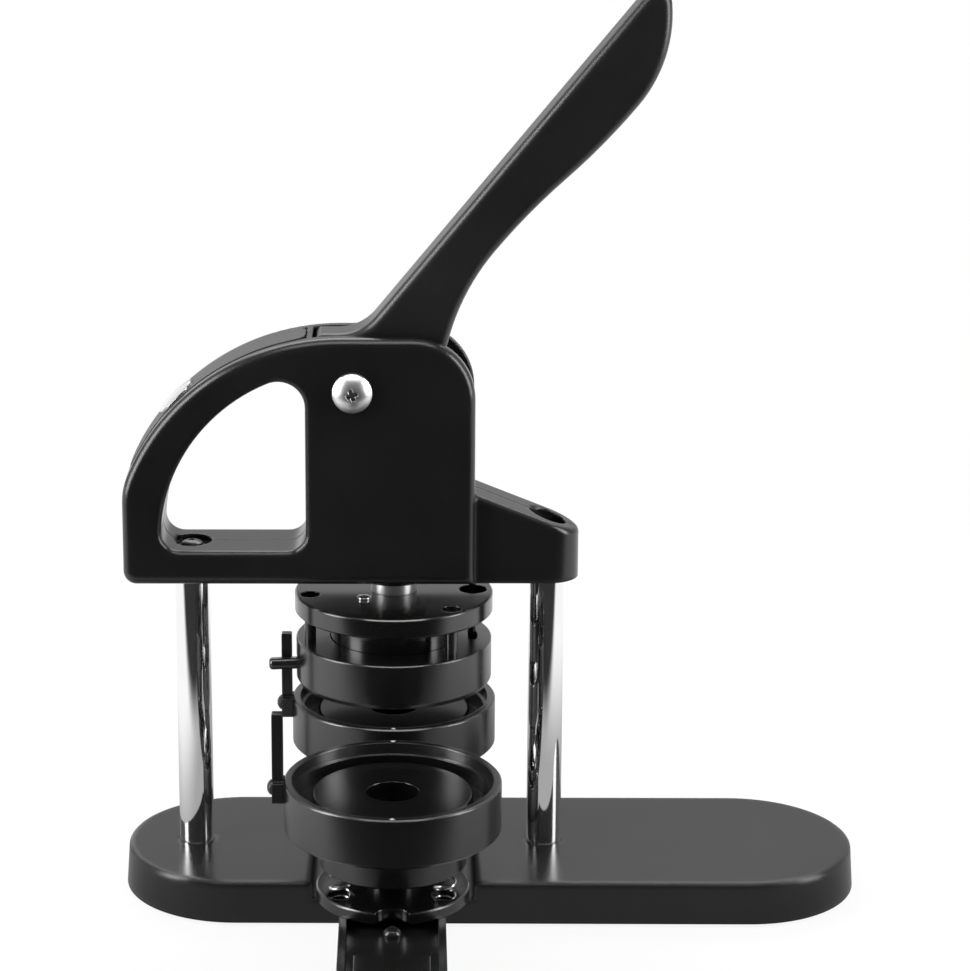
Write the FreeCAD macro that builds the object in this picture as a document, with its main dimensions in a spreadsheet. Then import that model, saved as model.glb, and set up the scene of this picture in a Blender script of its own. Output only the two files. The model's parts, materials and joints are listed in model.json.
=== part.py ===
import FreeCAD, Part
import math
import os
import Sketcher

# Button badge maker: a lever press on two columns, with two lower dies on a slide.
# Millimetres. +X is to the right seen from the front, +Y points away from the front, +Z is up.
# The origin lies on the table, under the middle of the base.

os.makedirs("parts", exist_ok=True)
doc = FreeCAD.newDocument("BadgeMaker")
sheet = doc.addObject("Spreadsheet::Sheet", "Sizes")

SIZES = {
    # Base and feet
    "base_length": 310, "base_width": 97, "base_height": 17.5, "base_taper_angle": 4, "base_edge_round": 1.4,
    "cell_depth": 6.5, "cell_length": 31, "cell_width": 31, "cell_pitch": 36.5, "cell_rib": 10,
    "foot_diameter": 14, "foot_stand": 1.5, "foot_recess": 1.2, "foot_inset": 33,
    "foot_side_inset": 21.5, "foot_round": 0.9,
    "channel_width": 67, "channel_depth": 7, "channel_lip": 3,
    # Columns and their top screws
    "column_diameter": 14.6, "left_column_x": -125, "right_column_x": 23.2, "column_seat": 9,
    "screw_diameter": 6, "screw_head_diameter": 9, "screw_head_height": 2.6, "screw_grip": 9,
    "hole_spare": 1, "screw_dome": 4.05,
    # Slide guide, keepers and slide
    "guide_length": 88, "guide_width": 57, "guide_floor": 14.2, "keeper_thickness": 2.4, "keeper_bite": 1.6,
    "slide_width": 41.5, "slide_height": 9.5, "slide_rail": 3, "slide_groove_level": 2.7,
    "slide_channel": 3.5, "slide_front": 178, "slide_rear": 48, "rail_front": 166,
    "pull_width": 30, "pull_length": 26.8, "pull_corner": 7, "pull_drop": 0.8, "pull_round": 1,
    "locator_web": 1,
    # Lower dies
    "die_pitch": 96.3, "flange_diameter": 60.6, "flange_thickness": 4.6, "notch_width": 14.5,
    "notch_reach": 25, "locator_reach": 32, "locator_diameter": 7.6, "locator_height": 3.6,
    "cup_lift": 9.3, "cup_body_diameter": 58.4, "cup_body_height": 14.2, "cup_diameter": 85.5,
    "cup_rim_height": 20, "cup_rim_wall": 3.2, "cup_step_depth": 4.5, "cup_taper": 0.8,
    "cup_pit_depth": 7, "cup_belt_bevel": 1, "cup_step_ledge": 0.9,
    "pedestal_diameter": 63.6, "pedestal_depth": 5.2, "pedestal_gap": 0.8,
    "pedestal_height": 12.7, "pedestal_hole": 20.6, "pedestal_hole_depth": 14, "pedestal_neck": 32,
    "pedestal_boss": 20, "boss_entry": 2, "neck_gap": 1,
    "post_width": 4.4, "post_height": 36, "post_foot_height": 8, "post_foot_width": 10,
    "post_drop": 8.4, "post_screw_diameter": 3, "post_screw_head": 6, "post_screw_drop": 3.4,
    # Die springs
    "spring_diameter": 9.2, "spring_wire": 1.4, "spring_ring": 23.5, "spring_turns": 2.75,
    "spring_seat": 3.2, "spring_seat_gap": 0.4, "spring_angle": 90,
    # Upper die
    "ram_x": -40.7, "work_gap": 8.05, "ring_diameter": 82, "ring_height": 18.7, "ring_bevel": 1.9,
    "skirt_wall": 4.5, "selector_floor": 4.3, "selector_height": 7.2, "selector_width": 8,
    "retainer_thickness": 1.2, "retainer_width": 3.6, "retainer_bite": 0.7, "selector_swing_angle": 14,
    "pin_diameter": 5.2, "pin_reach": 52.7, "pin_tip_round": 1.6, "pin_root": 30,
    "stop_ring": 33.2, "stop_diameter": 3, "stop_hole_diameter": 11.8, "stop_entry": 2.4, "stop_web": 1.5,
    "plate_gap": 11.7, "plate_diameter": 82.9, "plate_thickness": 8.3, "plate_chamfer": 0.6,
    "post_ring": 35.6, "guide_post_angle": -168, "guide_post_diameter": 4.8, "guide_post_hold": 6,
    "guide_head_diameter": 7.5, "guide_head_height": 3, "counterbore": 8.3, "counterbore_depth": 5.5,
    "plate_screw_ring": 17.7, "plate_screw_angle": -134, "plate_screw_head": 5.8, "plate_screw_diameter": 4,
    "plate_screw_grip": 7, "core_diameter": 53, "core_bevel": 1, "pad_diameter": 48, "pad_round": 1.2,
    "pad_thickness": 4, "badge_stack": 1.5,
    "ram_diameter": 19.2, "ram_show": 6.8, "ram_spigot": 12, "tang_width": 12, "tang_thickness": 9,
    "tang_drop": 23.5, "drive_pin_diameter": 6, "bush_wall": 2.8, "bush_length": 33.6, "bush_lip": 1.2,
    # Head
    "head_height": 104.5, "head_thickness": 35, "head_left": 152.6, "head_right": 7.2, "arch_x": -62.8,
    "arch_radius": 94.8, "shoulder_radius": 30, "head_corner": 26, "head_foot_corner": 5.5,
    "head_edge_round": 4, "parting_gap": 0.2, "loop_x": -63.6, "loop_rise": 8.5, "loop_radius": 73.2,
    "loop_right": 76.9, "loop_floor": 14.6, "loop_corner": 8, "loop_top_corner": 11, "loop_edge_round": 2.6,
    "loop_screw_recess": 17, "loop_screw_depth": 2.2, "recess_lead": 0.5, "socket_web": 3.6,
    "lug_radius": 13.1, "lug_height": 38, "lug_slope_angle": 21.9, "lug_counterbore": 15.6, "lug_web": 19.6,
    "lug_edge_round": 2.5, "strip_width": 20, "strip_depth": 2.2, "strip_proud": 0.3,
    "strip_start_angle": 98.5, "strip_end_angle": 156, "strip_end_round": 6, "strip_play_angle": 0.4,
    "stud_diameter": 18.4, "stud_height": 1.8, "stud_angle": 135.4,
    # Lever
    "pivot_x": -57.5, "pivot_drop": 22, "pivot_diameter": 10, "pivot_head_diameter": 16.4,
    "pivot_head_height": 5.5, "bolt_end": 0.8, "nut_diameter": 16, "nut_height": 5, "pivot_bush_wall": 2,
    "handle_swing_angle": 59, "handle_thickness": 20, "handle_round": 4, "handle_angle": 50.5,
    "handle_rise": 11.5, "handle_length": 203.8, "handle_nose": 6, "bulge_place": 162.5, "bulge_width": 26.6,
    "waist_place": 80.5, "waist_width": 20.4, "root_place": 38.4, "root_width": 30.2,
    "throat_radius": 20, "tail_length": 15, "tail_top": 22.2, "tail_bevel": 2, "hub_radius": 14,
    "hub_start_angle": -69, "hub_end_angle": 170, "root_foot_x": 28, "root_foot_drop": 4.2, "fork_gap": 10.4,
    "slot_play": 0.65, "cavity_margin": 1.4, "cavity_drop": 28.2, "cavity_right_drop": 30,
    # Clearances, bevels and the spare reach of cuts
    "fit": 0.05, "run_gap": 0.35, "slide_gap": 0.3, "fine_bevel": 0.5, "bevel": 0.6, "deep_bevel": 0.8,
    "cut_over": 1, "wide_cut_over": 5,
}

for row, (alias, value) in enumerate(SIZES.items(), start=1):
    sheet.set(f"A{row}", str(value))
    sheet.setAlias(f"A{row}", alias)
doc.recompute()

# Levels above the table and derived lengths, as rules on the sheet
BASE_TOP = "(Sizes.foot_stand + Sizes.base_height)"
CHANNEL_FLOOR = f"({BASE_TOP} - Sizes.channel_depth)"
SLIDE_BOTTOM = f"({CHANNEL_FLOOR} + Sizes.guide_floor + Sizes.slide_gap)"
SLIDE_TOP = f"({SLIDE_BOTTOM} + Sizes.slide_height)"
SLIDE_FLOOR = f"({SLIDE_TOP} - Sizes.slide_channel)"
FLANGE_TOP = f"({SLIDE_TOP} + Sizes.flange_thickness)"
CUP_BOTTOM = f"({FLANGE_TOP} + Sizes.cup_lift)"
CUP_HEIGHT = "(Sizes.cup_body_height + Sizes.cup_rim_height)"
RIM_TOP = f"({CUP_BOTTOM} + {CUP_HEIGHT})"
PEDESTAL_TOP = f"({RIM_TOP} - Sizes.pedestal_depth)"
RING_BOTTOM = f"({RIM_TOP} + Sizes.work_gap)"
RING_TOP = f"({RING_BOTTOM} + Sizes.ring_height)"
PLATE_BOTTOM = f"({RING_TOP} + Sizes.plate_gap)"
PLATE_TOP = f"({PLATE_BOTTOM} + Sizes.plate_thickness)"
HEAD_BOTTOM = f"({PLATE_TOP} + Sizes.ram_show)"
HEAD_TOP = f"({HEAD_BOTTOM} + Sizes.head_height)"
PIVOT_Z = f"({HEAD_TOP} - Sizes.pivot_drop)"
CRANK = "(Sizes.ram_x - Sizes.pivot_x)"
STROKE = f"(2 * {CRANK} * tan(Sizes.handle_swing_angle / 2))"
DRIVE_Z = f"({PIVOT_Z} + {STROKE} / 2)"
CORE_BOTTOM = f"({PEDESTAL_TOP} + Sizes.badge_stack + {STROKE})"
SELECTOR_ROOF = "(Sizes.selector_floor + Sizes.selector_height + Sizes.slide_gap)"
SKIRT_RADIUS = "(Sizes.ring_diameter / 2 - Sizes.skirt_wall)"
HALF_SWING = "(Sizes.selector_swing_angle / 2)"

pieces = []


def measure(rule):
    """The value of a rule on the sheet."""
    return float(doc.Sizes.evalExpression(rule))


def half(alias, extra="0"):
    """Half of a size, with an allowance."""
    return f"(Sizes.{alias} / 2 + {extra})"


def place(item, x="0", y="0", z="0"):
    for axis, rule in zip("xyz", (x, y, z)):
        item.setExpression(f"Placement.Base.{axis}", rule)


def turn_about_z(item, angle):
    item.Placement = FreeCAD.Placement(item.Placement.Base, FreeCAD.Rotation(FreeCAD.Vector(0, 0, 1), 1))
    item.setExpression("Placement.Rotation.Angle", angle)


def new_body(label, x="0", y="0", z="0"):
    body = doc.addObject("PartDesign::Body", label)
    body.Label = label
    place(body, x, y, z)
    pieces.append(body)
    return body


def new_sketch(body, plane, shift="0", across="0"):
    """A sketch on an origin plane of the body, moved along the plane's normal and across it."""
    sketch = body.newObject("Sketcher::SketchObject", body.Label + "_sketch")
    support = next(feature for feature in body.Origin.OriginFeatures if feature.Role == plane)
    sketch.AttachmentSupport = [(support, "")]
    sketch.MapMode = "FlatFace"
    sketch.setExpression("AttachmentOffset.Base.z", shift)
    sketch.setExpression("AttachmentOffset.Base.x", across)
    return sketch


def fix(sketch, kind, geometry, rule):
    """Hold one coordinate of a point, or a radius, to a rule."""
    points = geometry if kind == "Radius" else (-1, 1) + geometry
    number = sketch.addConstraint(Sketcher.Constraint(kind, *points, measure(rule)))
    sketch.setExpression(f"Constraints[{number}]", rule)


def arc_between(start, end, radius, turn):
    """The shorter arc from start to end; it turns left where turn is positive."""
    chord = end - start
    rise = math.sqrt(max(radius ** 2 - chord.Length ** 2 / 4, 0))
    left = FreeCAD.Vector(-chord.y, chord.x, 0).normalize()
    centre = (start + end) / 2 + left * rise * turn
    first, last = (start, end) if turn > 0 else (end, start)
    begin = math.atan2(first.y - centre.y, first.x - centre.x)
    finish = math.atan2(last.y - centre.y, last.x - centre.x)
    if finish < begin:
        finish += 2 * math.pi
    return Part.ArcOfCircle(Part.Circle(centre, FreeCAD.Vector(0, 0, 1), radius), begin, finish)


def draw_outline(sketch, corners, bends=None):
    """Close a chain of sides through the corners; a bend (radius, turn) makes a side an arc."""
    bends = bends or {}
    first = sketch.GeometryCount
    points = [FreeCAD.Vector(measure(across), measure(up), 0) for across, up in corners]
    for index, start in enumerate(points):
        end = points[(index + 1) % len(points)]
        if index in bends:
            radius, turn = bends[index]
            sketch.addGeometry(arc_between(start, end, measure(radius), turn))
        else:
            sketch.addGeometry(Part.LineSegment(start, end))
    starts = [2 if index in bends and bends[index][1] < 0 else 1 for index in range(len(points))]
    for index, (across, up) in enumerate(corners):
        before = index - 1 if index else len(points) - 1
        sketch.addConstraint(Sketcher.Constraint(
            "Coincident", first + before, 3 - starts[before], first + index, starts[index]))
        fix(sketch, "DistanceX", (first + index, starts[index]), across)
        fix(sketch, "DistanceY", (first + index, starts[index]), up)
    for index, (radius, turn) in bends.items():
        fix(sketch, "Radius", (first + index,), radius)


def draw_circle(sketch, across, up, radius):
    centre = FreeCAD.Vector(measure(across), measure(up), 0)
    number = sketch.addGeometry(Part.Circle(centre, FreeCAD.Vector(0, 0, 1), measure(radius)))
    fix(sketch, "DistanceX", (number, 3), across)
    fix(sketch, "DistanceY", (number, 3), up)
    fix(sketch, "Radius", (number,), radius)


def finish_feature(body, feature, sign):
    """Make the feature the body's tip and make sure that it changed the volume as it should."""
    before = body.Shape.Volume if sign and not body.Shape.isNull() else 0
    body.Tip = feature
    doc.recompute()
    change = (body.Shape.Volume - before) * sign
    if sign and change <= 0:
        raise ValueError(f"{feature.Label} did not change {body.Label}")
    return feature


def revolve(body, sketch, axis="V_Axis", groove=False):
    kind = "PartDesign::Groove" if groove else "PartDesign::Revolution"
    feature = body.newObject(kind, body.Label + "_turning")
    feature.Profile = sketch
    feature.ReferenceAxis = (sketch, [axis])
    feature.Angle = 360
    return finish_feature(body, feature, -1 if groove else 1)


def extrude(body, sketch, length, sides="One side", reverse=False, cut=False):
    """Pad or pocket a sketch; a pocket goes against the sketch's normal unless reversed."""
    kind = "PartDesign::Pocket" if cut else "PartDesign::Pad"
    feature = body.newObject(kind, body.Label + ("_cut" if cut else "_pad"))
    feature.Profile = sketch
    feature.SideType = sides
    feature.Reversed = reverse
    feature.setExpression("Length", length)
    return finish_feature(body, feature, -1 if cut else 1)


def round_edges(body, rule, keep):
    """Fillet the edges of the body's tip that the test keeps."""
    tip = body.Tip
    names = [f"Edge{number}" for number, edge in enumerate(tip.Shape.Edges, start=1) if keep(edge)]
    feature = body.newObject("PartDesign::Fillet", body.Label + "_round")
    feature.Base = (tip, names)
    feature.setExpression("Radius", rule)
    finish_feature(body, feature, 0)
    if not names or not feature.isValid():
        raise ValueError(f"{feature.Label} could not round {len(names)} edges")


def pattern_round(body, feature, sketch, count):
    """Repeat a feature about the sketch's normal."""
    pattern = body.newObject("PartDesign::PolarPattern", body.Label + "_pattern")
    pattern.Originals = [feature]
    pattern.Axis = (sketch, ["N_Axis"])
    pattern.Angle = 360
    pattern.Occurrences = count
    return finish_feature(body, pattern, 1 if feature.isDerivedFrom("PartDesign::Pad") else -1)


def turned(label, corners, bends=None, x="0", y="0", z="0", plane="XZ_Plane", axis="V_Axis"):
    """A piece turned on a lathe, from half of its section."""
    body = new_body(label, x, y, z)
    sketch = new_sketch(body, plane)
    draw_outline(sketch, corners, bends)
    revolve(body, sketch, axis)
    return body


def drill(body, holes, level, depth, upward=False, repeat=1):
    """Round holes (x, y, radius) from a level, downward unless said otherwise, repeated about Z."""
    sketch = new_sketch(body, "XY_Plane", level)
    for across, along, radius in holes:
        draw_circle(sketch, across, along, radius)
    feature = extrude(body, sketch, depth, reverse=upward, cut=True)
    if repeat > 1:
        pattern_round(body, feature, sketch, repeat)


def lies_at(edge, axis, level, slack=0.01):
    """Whether an edge lies wholly at a level along one axis."""
    box = edge.BoundBox
    low, high = {"y": (box.YMin, box.YMax), "z": (box.ZMin, box.ZMax)}[axis]
    return abs(low - level) < slack and abs(high - level) < slack


# Base, feet and columns

FOOT_X = "(Sizes.base_length / 2 - Sizes.foot_inset)"
FOOT_Y = "(Sizes.base_width / 2 - Sizes.foot_side_inset)"
FOOT_PLACES = [(f"-{FOOT_X}", f"-{FOOT_Y}"), (f"-{FOOT_X}", FOOT_Y), (FOOT_X, f"-{FOOT_Y}"), (FOOT_X, FOOT_Y),
               ("0", "0")]


def make_base():
    body = new_body("base", z="Sizes.foot_stand")
    end = half("base_width")
    straight = f"(Sizes.base_length / 2 - {end})"
    tip = half("base_length")
    outline = new_sketch(body, "XY_Plane")
    corners = [(f"-{straight}", f"-{end}"), (straight, f"-{end}"), (tip, "0"),
               (straight, end), (f"-{straight}", end), (f"-{tip}", "0")]
    draw_outline(outline, corners, {1: (end, 1), 2: (end, 1), 4: (end, 1), 5: (end, 1)})
    pad = extrude(body, outline, "Sizes.base_height")
    pad.setExpression("TaperAngle", "-Sizes.base_taper_angle")
    doc.recompute()
    top = measure("Sizes.base_height")
    round_edges(body, "Sizes.base_edge_round", lambda edge: lies_at(edge, "z", top))

    wall = half("channel_width")
    lip = "Sizes.channel_lip"
    left, right = f"(Sizes.ram_x - {wall})", f"(Sizes.ram_x + {wall})"
    above = "Sizes.base_height + Sizes.cut_over"
    floor = "Sizes.base_height - Sizes.channel_depth"
    channel = new_sketch(body, "XZ_Plane")
    corners = [(f"{left} - {lip}", above), (f"{left} - {lip}", "Sizes.base_height"),
               (left, f"Sizes.base_height - {lip}"), (left, floor), (right, floor),
               (right, f"Sizes.base_height - {lip}"), (f"{right} + {lip}", "Sizes.base_height"),
               (f"{right} + {lip}", above)]
    draw_outline(channel, corners, {1: (lip, -1), 5: (lip, -1)})
    extrude(body, channel, "Sizes.base_width * 2", "Symmetric", cut=True)

    cells = new_sketch(body, "XY_Plane")
    near = half("cell_rib")
    far = f"({near} + Sizes.cell_width)"
    first = "(-2.5 * Sizes.cell_pitch - Sizes.cell_length / 2)"
    last = f"({first} + Sizes.cell_length)"
    draw_outline(cells, [(first, near), (last, near), (last, far), (first, far)])
    draw_outline(cells, [(first, f"-{far}"), (last, f"-{far}"), (last, f"-{near}"), (first, f"-{near}")])
    cell = extrude(body, cells, "Sizes.cell_depth", reverse=True, cut=True)
    row = body.newObject("PartDesign::LinearPattern", "base_cells")
    row.Originals = [cell]
    row.Direction = (cells, ["H_Axis"])
    row.setExpression("Length", "5 * Sizes.cell_pitch")
    row.Occurrences = 6
    finish_feature(body, row, -1)

    seat = half("column_diameter", "Sizes.fit")
    sockets = [("Sizes.left_column_x", "0", seat), ("Sizes.right_column_x", "0", seat)]
    drill(body, sockets, "Sizes.base_height", "Sizes.column_seat")
    recess = half("foot_diameter", "Sizes.fit")
    feet = [(x, y, recess) for x, y in FOOT_PLACES]
    drill(body, feet, "0", "Sizes.foot_recess", upward=True)


def make_feet():
    radius = half("foot_diameter")
    height = "(Sizes.foot_stand + Sizes.foot_recess)"
    edge = "Sizes.foot_round"
    corners = [("0", "0"), (f"{radius} - {edge}", "0"), (radius, edge), (radius, height), ("0", height)]
    for number, (x, y) in enumerate(FOOT_PLACES, start=1):
        turned(f"foot_{number}", corners, {1: (edge, 1)}, x, y)


def make_column(label, x, socket):
    radius = half("column_diameter")
    bevel = "Sizes.bevel"
    length = f"(Sizes.column_seat + {HEAD_BOTTOM} - {BASE_TOP} + {socket})"
    bore = half("screw_diameter", "Sizes.fit")
    hole_end = f"({length} - Sizes.screw_grip - Sizes.hole_spare)"
    corners = [("0", "0"), (f"{radius} - {bevel}", "0"), (radius, bevel), (radius, f"{length} - {bevel}"),
               (f"{radius} - {bevel}", length), (bore, length),
               (bore, hole_end), ("0", hole_end)]
    turned(label, corners, x=x, z=f"{BASE_TOP} - Sizes.column_seat")


def make_column_screw(label, x, web_bottom, seat):
    """A dome-headed screw through the web above a column."""
    shank = half("screw_diameter")
    head = half("screw_head_diameter")
    foot = f"({web_bottom} - Sizes.screw_grip - ({seat}))"
    crown = "(Sizes.screw_head_height / 2)"
    corners = [("0", foot), (shank, foot), (shank, "0"), (head, "0"), (head, crown),
               (f"{head} / 2", "Sizes.screw_head_height"), ("0", "Sizes.screw_head_height")]
    turned(label, corners, {4: ("Sizes.screw_dome", 1)}, x=x, z=seat)


# Head

LOOP_FLOOR = f"({HEAD_BOTTOM} + Sizes.loop_floor)"
ARCH_Z = f"({HEAD_TOP} - Sizes.arch_radius)"
LOOP_Z = f"({ARCH_Z} + Sizes.loop_rise)"
LEFT_SOCKET = "(Sizes.loop_floor - Sizes.loop_screw_depth - Sizes.socket_web)"
LEFT_SEAT = f"({LOOP_FLOOR} - Sizes.loop_screw_depth)"
LUG_SOCKET = "(Sizes.lug_web - Sizes.socket_web)"
LUG_SEAT = f"({HEAD_BOTTOM} + Sizes.lug_web)"
STRIP_TOP = "(Sizes.arch_radius + Sizes.strip_proud)"
STRIP_FLOOR = f"({STRIP_TOP} - Sizes.strip_depth)"


def draw_head_outline(sketch):
    """The head from the front: a straight right side and an arch that falls to the left."""
    left = "(0 - Sizes.head_left)"
    right = "(0 - Sizes.head_right)"
    corner, foot = "Sizes.head_corner", "Sizes.head_foot_corner"
    shoulder_x = f"({left} + Sizes.shoulder_radius - Sizes.arch_x)"
    reach = "(Sizes.arch_radius - Sizes.shoulder_radius)"
    shoulder_z = f"sqrt({reach}^2 - {shoulder_x}^2)"
    share = f"(Sizes.arch_radius / {reach})"
    corners = [(f"{left} + {foot}", HEAD_BOTTOM), (right, HEAD_BOTTOM), (right, f"{HEAD_TOP} - {corner}"),
               (f"{right} - {corner}", HEAD_TOP), ("Sizes.arch_x", HEAD_TOP),
               (f"Sizes.arch_x + {shoulder_x} * {share}", f"{ARCH_Z} + {shoulder_z} * {share}"),
               (left, f"{ARCH_Z} + {shoulder_z}"), (left, f"{HEAD_BOTTOM} + {foot}")]
    bends = {2: (corner, 1), 4: ("Sizes.arch_radius", 1), 5: ("Sizes.shoulder_radius", 1), 7: (foot, 1)}
    draw_outline(sketch, corners, bends)


def draw_loop(sketch):
    """The hand loop: an arch with a straight floor and right side."""
    right = "(0 - Sizes.loop_right)"
    low, top = "Sizes.loop_corner", "Sizes.loop_top_corner"
    low_reach = f"(Sizes.loop_radius - {low})"
    low_z = f"({LOOP_FLOOR} + {low} - {LOOP_Z})"
    low_x = f"(0 - sqrt({low_reach}^2 - {low_z}^2))"
    top_reach = f"(Sizes.loop_radius - {top})"
    top_x = f"({right} - {top} - Sizes.loop_x)"
    top_z = f"sqrt({top_reach}^2 - {top_x}^2)"
    low_share = f"(Sizes.loop_radius / {low_reach})"
    top_share = f"(Sizes.loop_radius / {top_reach})"
    corners = [(f"Sizes.loop_x + {low_x}", LOOP_FLOOR), (f"{right} - {low}", LOOP_FLOOR),
               (right, f"{LOOP_FLOOR} + {low}"), (right, f"{LOOP_Z} + {top_z}"),
               (f"Sizes.loop_x + {top_x} * {top_share}", f"{LOOP_Z} + {top_z} * {top_share}"),
               (f"Sizes.loop_x + {low_x} * {low_share}", f"{LOOP_Z} + {low_z} * {low_share}")]
    bends = {1: (low, 1), 3: (top, 1), 4: ("Sizes.loop_radius", 1), 5: (low, 1)}
    draw_outline(sketch, corners, bends)


def add_lug(body):
    """The lug over the right column, round in plan, with a top that falls to the right."""
    radius = "Sizes.lug_radius"
    x = "Sizes.right_column_x"
    inner = "(0 - Sizes.head_right - Sizes.head_edge_round)"
    plan = new_sketch(body, "XY_Plane", HEAD_BOTTOM)
    corners = [(inner, f"-{radius}"), (x, f"-{radius}"), (f"{x} + {radius}", "0"), (x, radius),
               (inner, radius)]
    draw_outline(plan, corners, {1: (radius, 1), 2: (radius, 1)})
    extrude(body, plan, "Sizes.lug_height")
    start = "(0 - Sizes.head_right)"
    end = f"({x} + {radius} + Sizes.cut_over)"
    top = f"({HEAD_BOTTOM} + Sizes.lug_height)"
    over = f"{top} + Sizes.cut_over"
    slope = new_sketch(body, "XZ_Plane")
    drop = f"({end} - {start}) * tan(Sizes.lug_slope_angle)"
    draw_outline(slope, [(start, top), (end, f"{top} - {drop}"), (end, over), (start, over)])
    extrude(body, slope, f"({radius} + Sizes.cut_over) * 2", "Symmetric", cut=True)
    limit = measure("0 - Sizes.head_right")
    low = measure(HEAD_BOTTOM) + 1
    round_edges(body, "Sizes.lug_edge_round", lambda edge: edge.BoundBox.XMin > limit - 0.01
                and edge.BoundBox.XMax > limit + 1 and edge.BoundBox.ZMin > low)


def bore_column(body, x, socket, seat, recess, top):
    """Column socket, screw hole and head recess on one axis."""
    column = half("column_diameter", "Sizes.fit")
    screw = half("screw_diameter", "Sizes.fit")
    sketch = new_sketch(body, "XZ_Plane", across=x)
    socket_top = f"{HEAD_BOTTOM} + {socket}"
    under = f"{HEAD_BOTTOM} - Sizes.cut_over"
    corners = [("0", under), (column, under), (column, socket_top),
               (screw, socket_top), (screw, seat), (recess, seat), (recess, top), ("0", top)]
    draw_outline(sketch, corners)
    revolve(body, sketch, groove=True)


def make_head():
    """Both shells of the head as one form, then parted at mid depth."""
    body = doc.addObject("PartDesign::Body", "head_form")
    face = measure(half("head_thickness"))
    outline = new_sketch(body, "XZ_Plane")
    draw_head_outline(outline)
    extrude(body, outline, "Sizes.head_thickness", "Symmetric")
    round_edges(body, "Sizes.head_edge_round",
                lambda edge: lies_at(edge, "y", face) or lies_at(edge, "y", -face))
    loop = new_sketch(body, "XZ_Plane")
    draw_loop(loop)
    extrude(body, loop, "Sizes.head_thickness * 2", "Symmetric", cut=True)
    inside = measure(f"Sizes.head_edge_round + {LOOP_FLOOR} - Sizes.loop_floor")
    right = measure("0 - Sizes.loop_right")
    left = measure("Sizes.loop_x - Sizes.loop_radius")
    round_edges(body, "Sizes.loop_edge_round", lambda edge: abs(abs(edge.BoundBox.Center.y) - face) < 0.01
                and edge.BoundBox.XMax < right + 0.1 and edge.BoundBox.ZMin > inside
                and edge.BoundBox.XMin > left - 0.1 and edge.BoundBox.XMax > left + 1
                and edge.BoundBox.ZMax < measure(HEAD_TOP) - measure("Sizes.head_edge_round") - 1)
    add_lug(body)

    cavity = new_sketch(body, "XZ_Plane")
    margin = "Sizes.cavity_margin"
    hub = f"(Sizes.hub_radius + {margin})"
    west = f"(Sizes.pivot_x - Sizes.tail_length - {margin})"
    above, east = f"{HEAD_TOP} + Sizes.wide_cut_over", "Sizes.wide_cut_over - Sizes.head_right"
    corners = [(west, above), (west, f"{PIVOT_Z} - {hub} / 2"),
               (f"Sizes.pivot_x - {hub} / 2", f"{PIVOT_Z} - {hub}"),
               (f"Sizes.pivot_x + {hub} / 2", f"{PIVOT_Z} - Sizes.cavity_drop"),
               (east, f"{PIVOT_Z} - Sizes.cavity_right_drop"), (east, above)]
    draw_outline(cavity, corners)
    extrude(body, cavity, "Sizes.handle_thickness + 2 * Sizes.run_gap", "Symmetric", cut=True)

    ram_bore = new_sketch(body, "XZ_Plane", across="Sizes.ram_x")
    bush = half("ram_diameter", "Sizes.fit * 2 + Sizes.bush_wall")
    clear = half("ram_diameter", "Sizes.run_gap")
    bush_top = f"{HEAD_BOTTOM} + Sizes.bush_length"
    bore_top = f"{PIVOT_Z} - Sizes.cavity_drop + Sizes.wide_cut_over"
    under = f"{HEAD_BOTTOM} - Sizes.cut_over"
    draw_outline(ram_bore, [("0", under), (bush, under), (bush, bush_top),
                            (clear, bush_top), (clear, bore_top), ("0", bore_top)])
    revolve(body, ram_bore, groove=True)
    bore_column(body, "Sizes.left_column_x", LEFT_SOCKET, LEFT_SEAT, half("loop_screw_recess"),
                f"{LOOP_FLOOR} + Sizes.recess_lead")
    bore_column(body, "Sizes.right_column_x", LUG_SOCKET, LUG_SEAT, half("lug_counterbore"),
                f"{HEAD_BOTTOM} + Sizes.lug_height + Sizes.cut_over")
    pivot = new_sketch(body, "XZ_Plane")
    draw_circle(pivot, "Sizes.pivot_x", PIVOT_Z, half("pivot_diameter", "Sizes.fit"))
    extrude(body, pivot, "Sizes.head_thickness * 2", "Symmetric", cut=True)
    groove = new_sketch(body, "XZ_Plane")
    over = "Sizes.arch_radius + Sizes.wide_cut_over"
    draw_strip(groove, "Sizes.arch_x", ARCH_Z, over, "Sizes.strip_play_angle", "0")
    extrude(body, groove, "Sizes.strip_width + 2 * Sizes.fit", "Symmetric", cut=True)
    part_shells(body)


def draw_strip(sketch, x, z, outer, play, twist):
    """The side of the grip strip, or of its groove with some play at the ends, about a centre."""
    start = f"(Sizes.strip_start_angle - {play} + {twist})"
    end = f"(Sizes.strip_end_angle + {play} + {twist})"
    around = [(STRIP_FLOOR, start), (f"({outer})", start), (f"({outer})", end), (STRIP_FLOOR, end)]
    corners = [(f"{x} + {radius} * cos({angle})", f"{z} + {radius} * sin({angle})")
               for radius, angle in around]
    draw_outline(sketch, corners, {1: (outer, 1), 3: (STRIP_FLOOR, -1)})


def part_shells(body):
    """Cut the head form into a front and a rear shell."""
    reach = "Sizes.head_left + Sizes.right_column_x + Sizes.lug_radius"
    over = "Sizes.wide_cut_over"
    for label, front in (("head_front_shell", True), ("head_rear_shell", False)):
        block = doc.addObject("Part::Box", label + "_block")
        block.setExpression("Length", f"{reach} + 2 * {over}")
        block.setExpression("Width", "Sizes.head_thickness")
        block.setExpression("Height", f"Sizes.head_height + 2 * {over}")
        near = "0 - Sizes.head_thickness - Sizes.parting_gap / 2" if front else "Sizes.parting_gap / 2"
        place(block, f"0 - Sizes.head_left - {over}", near, f"{HEAD_BOTTOM} - {over}")
        shell = doc.addObject("Part::Common", label)
        shell.Label = label
        shell.Base = body
        shell.Tool = block
        pieces.append(shell)


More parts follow.
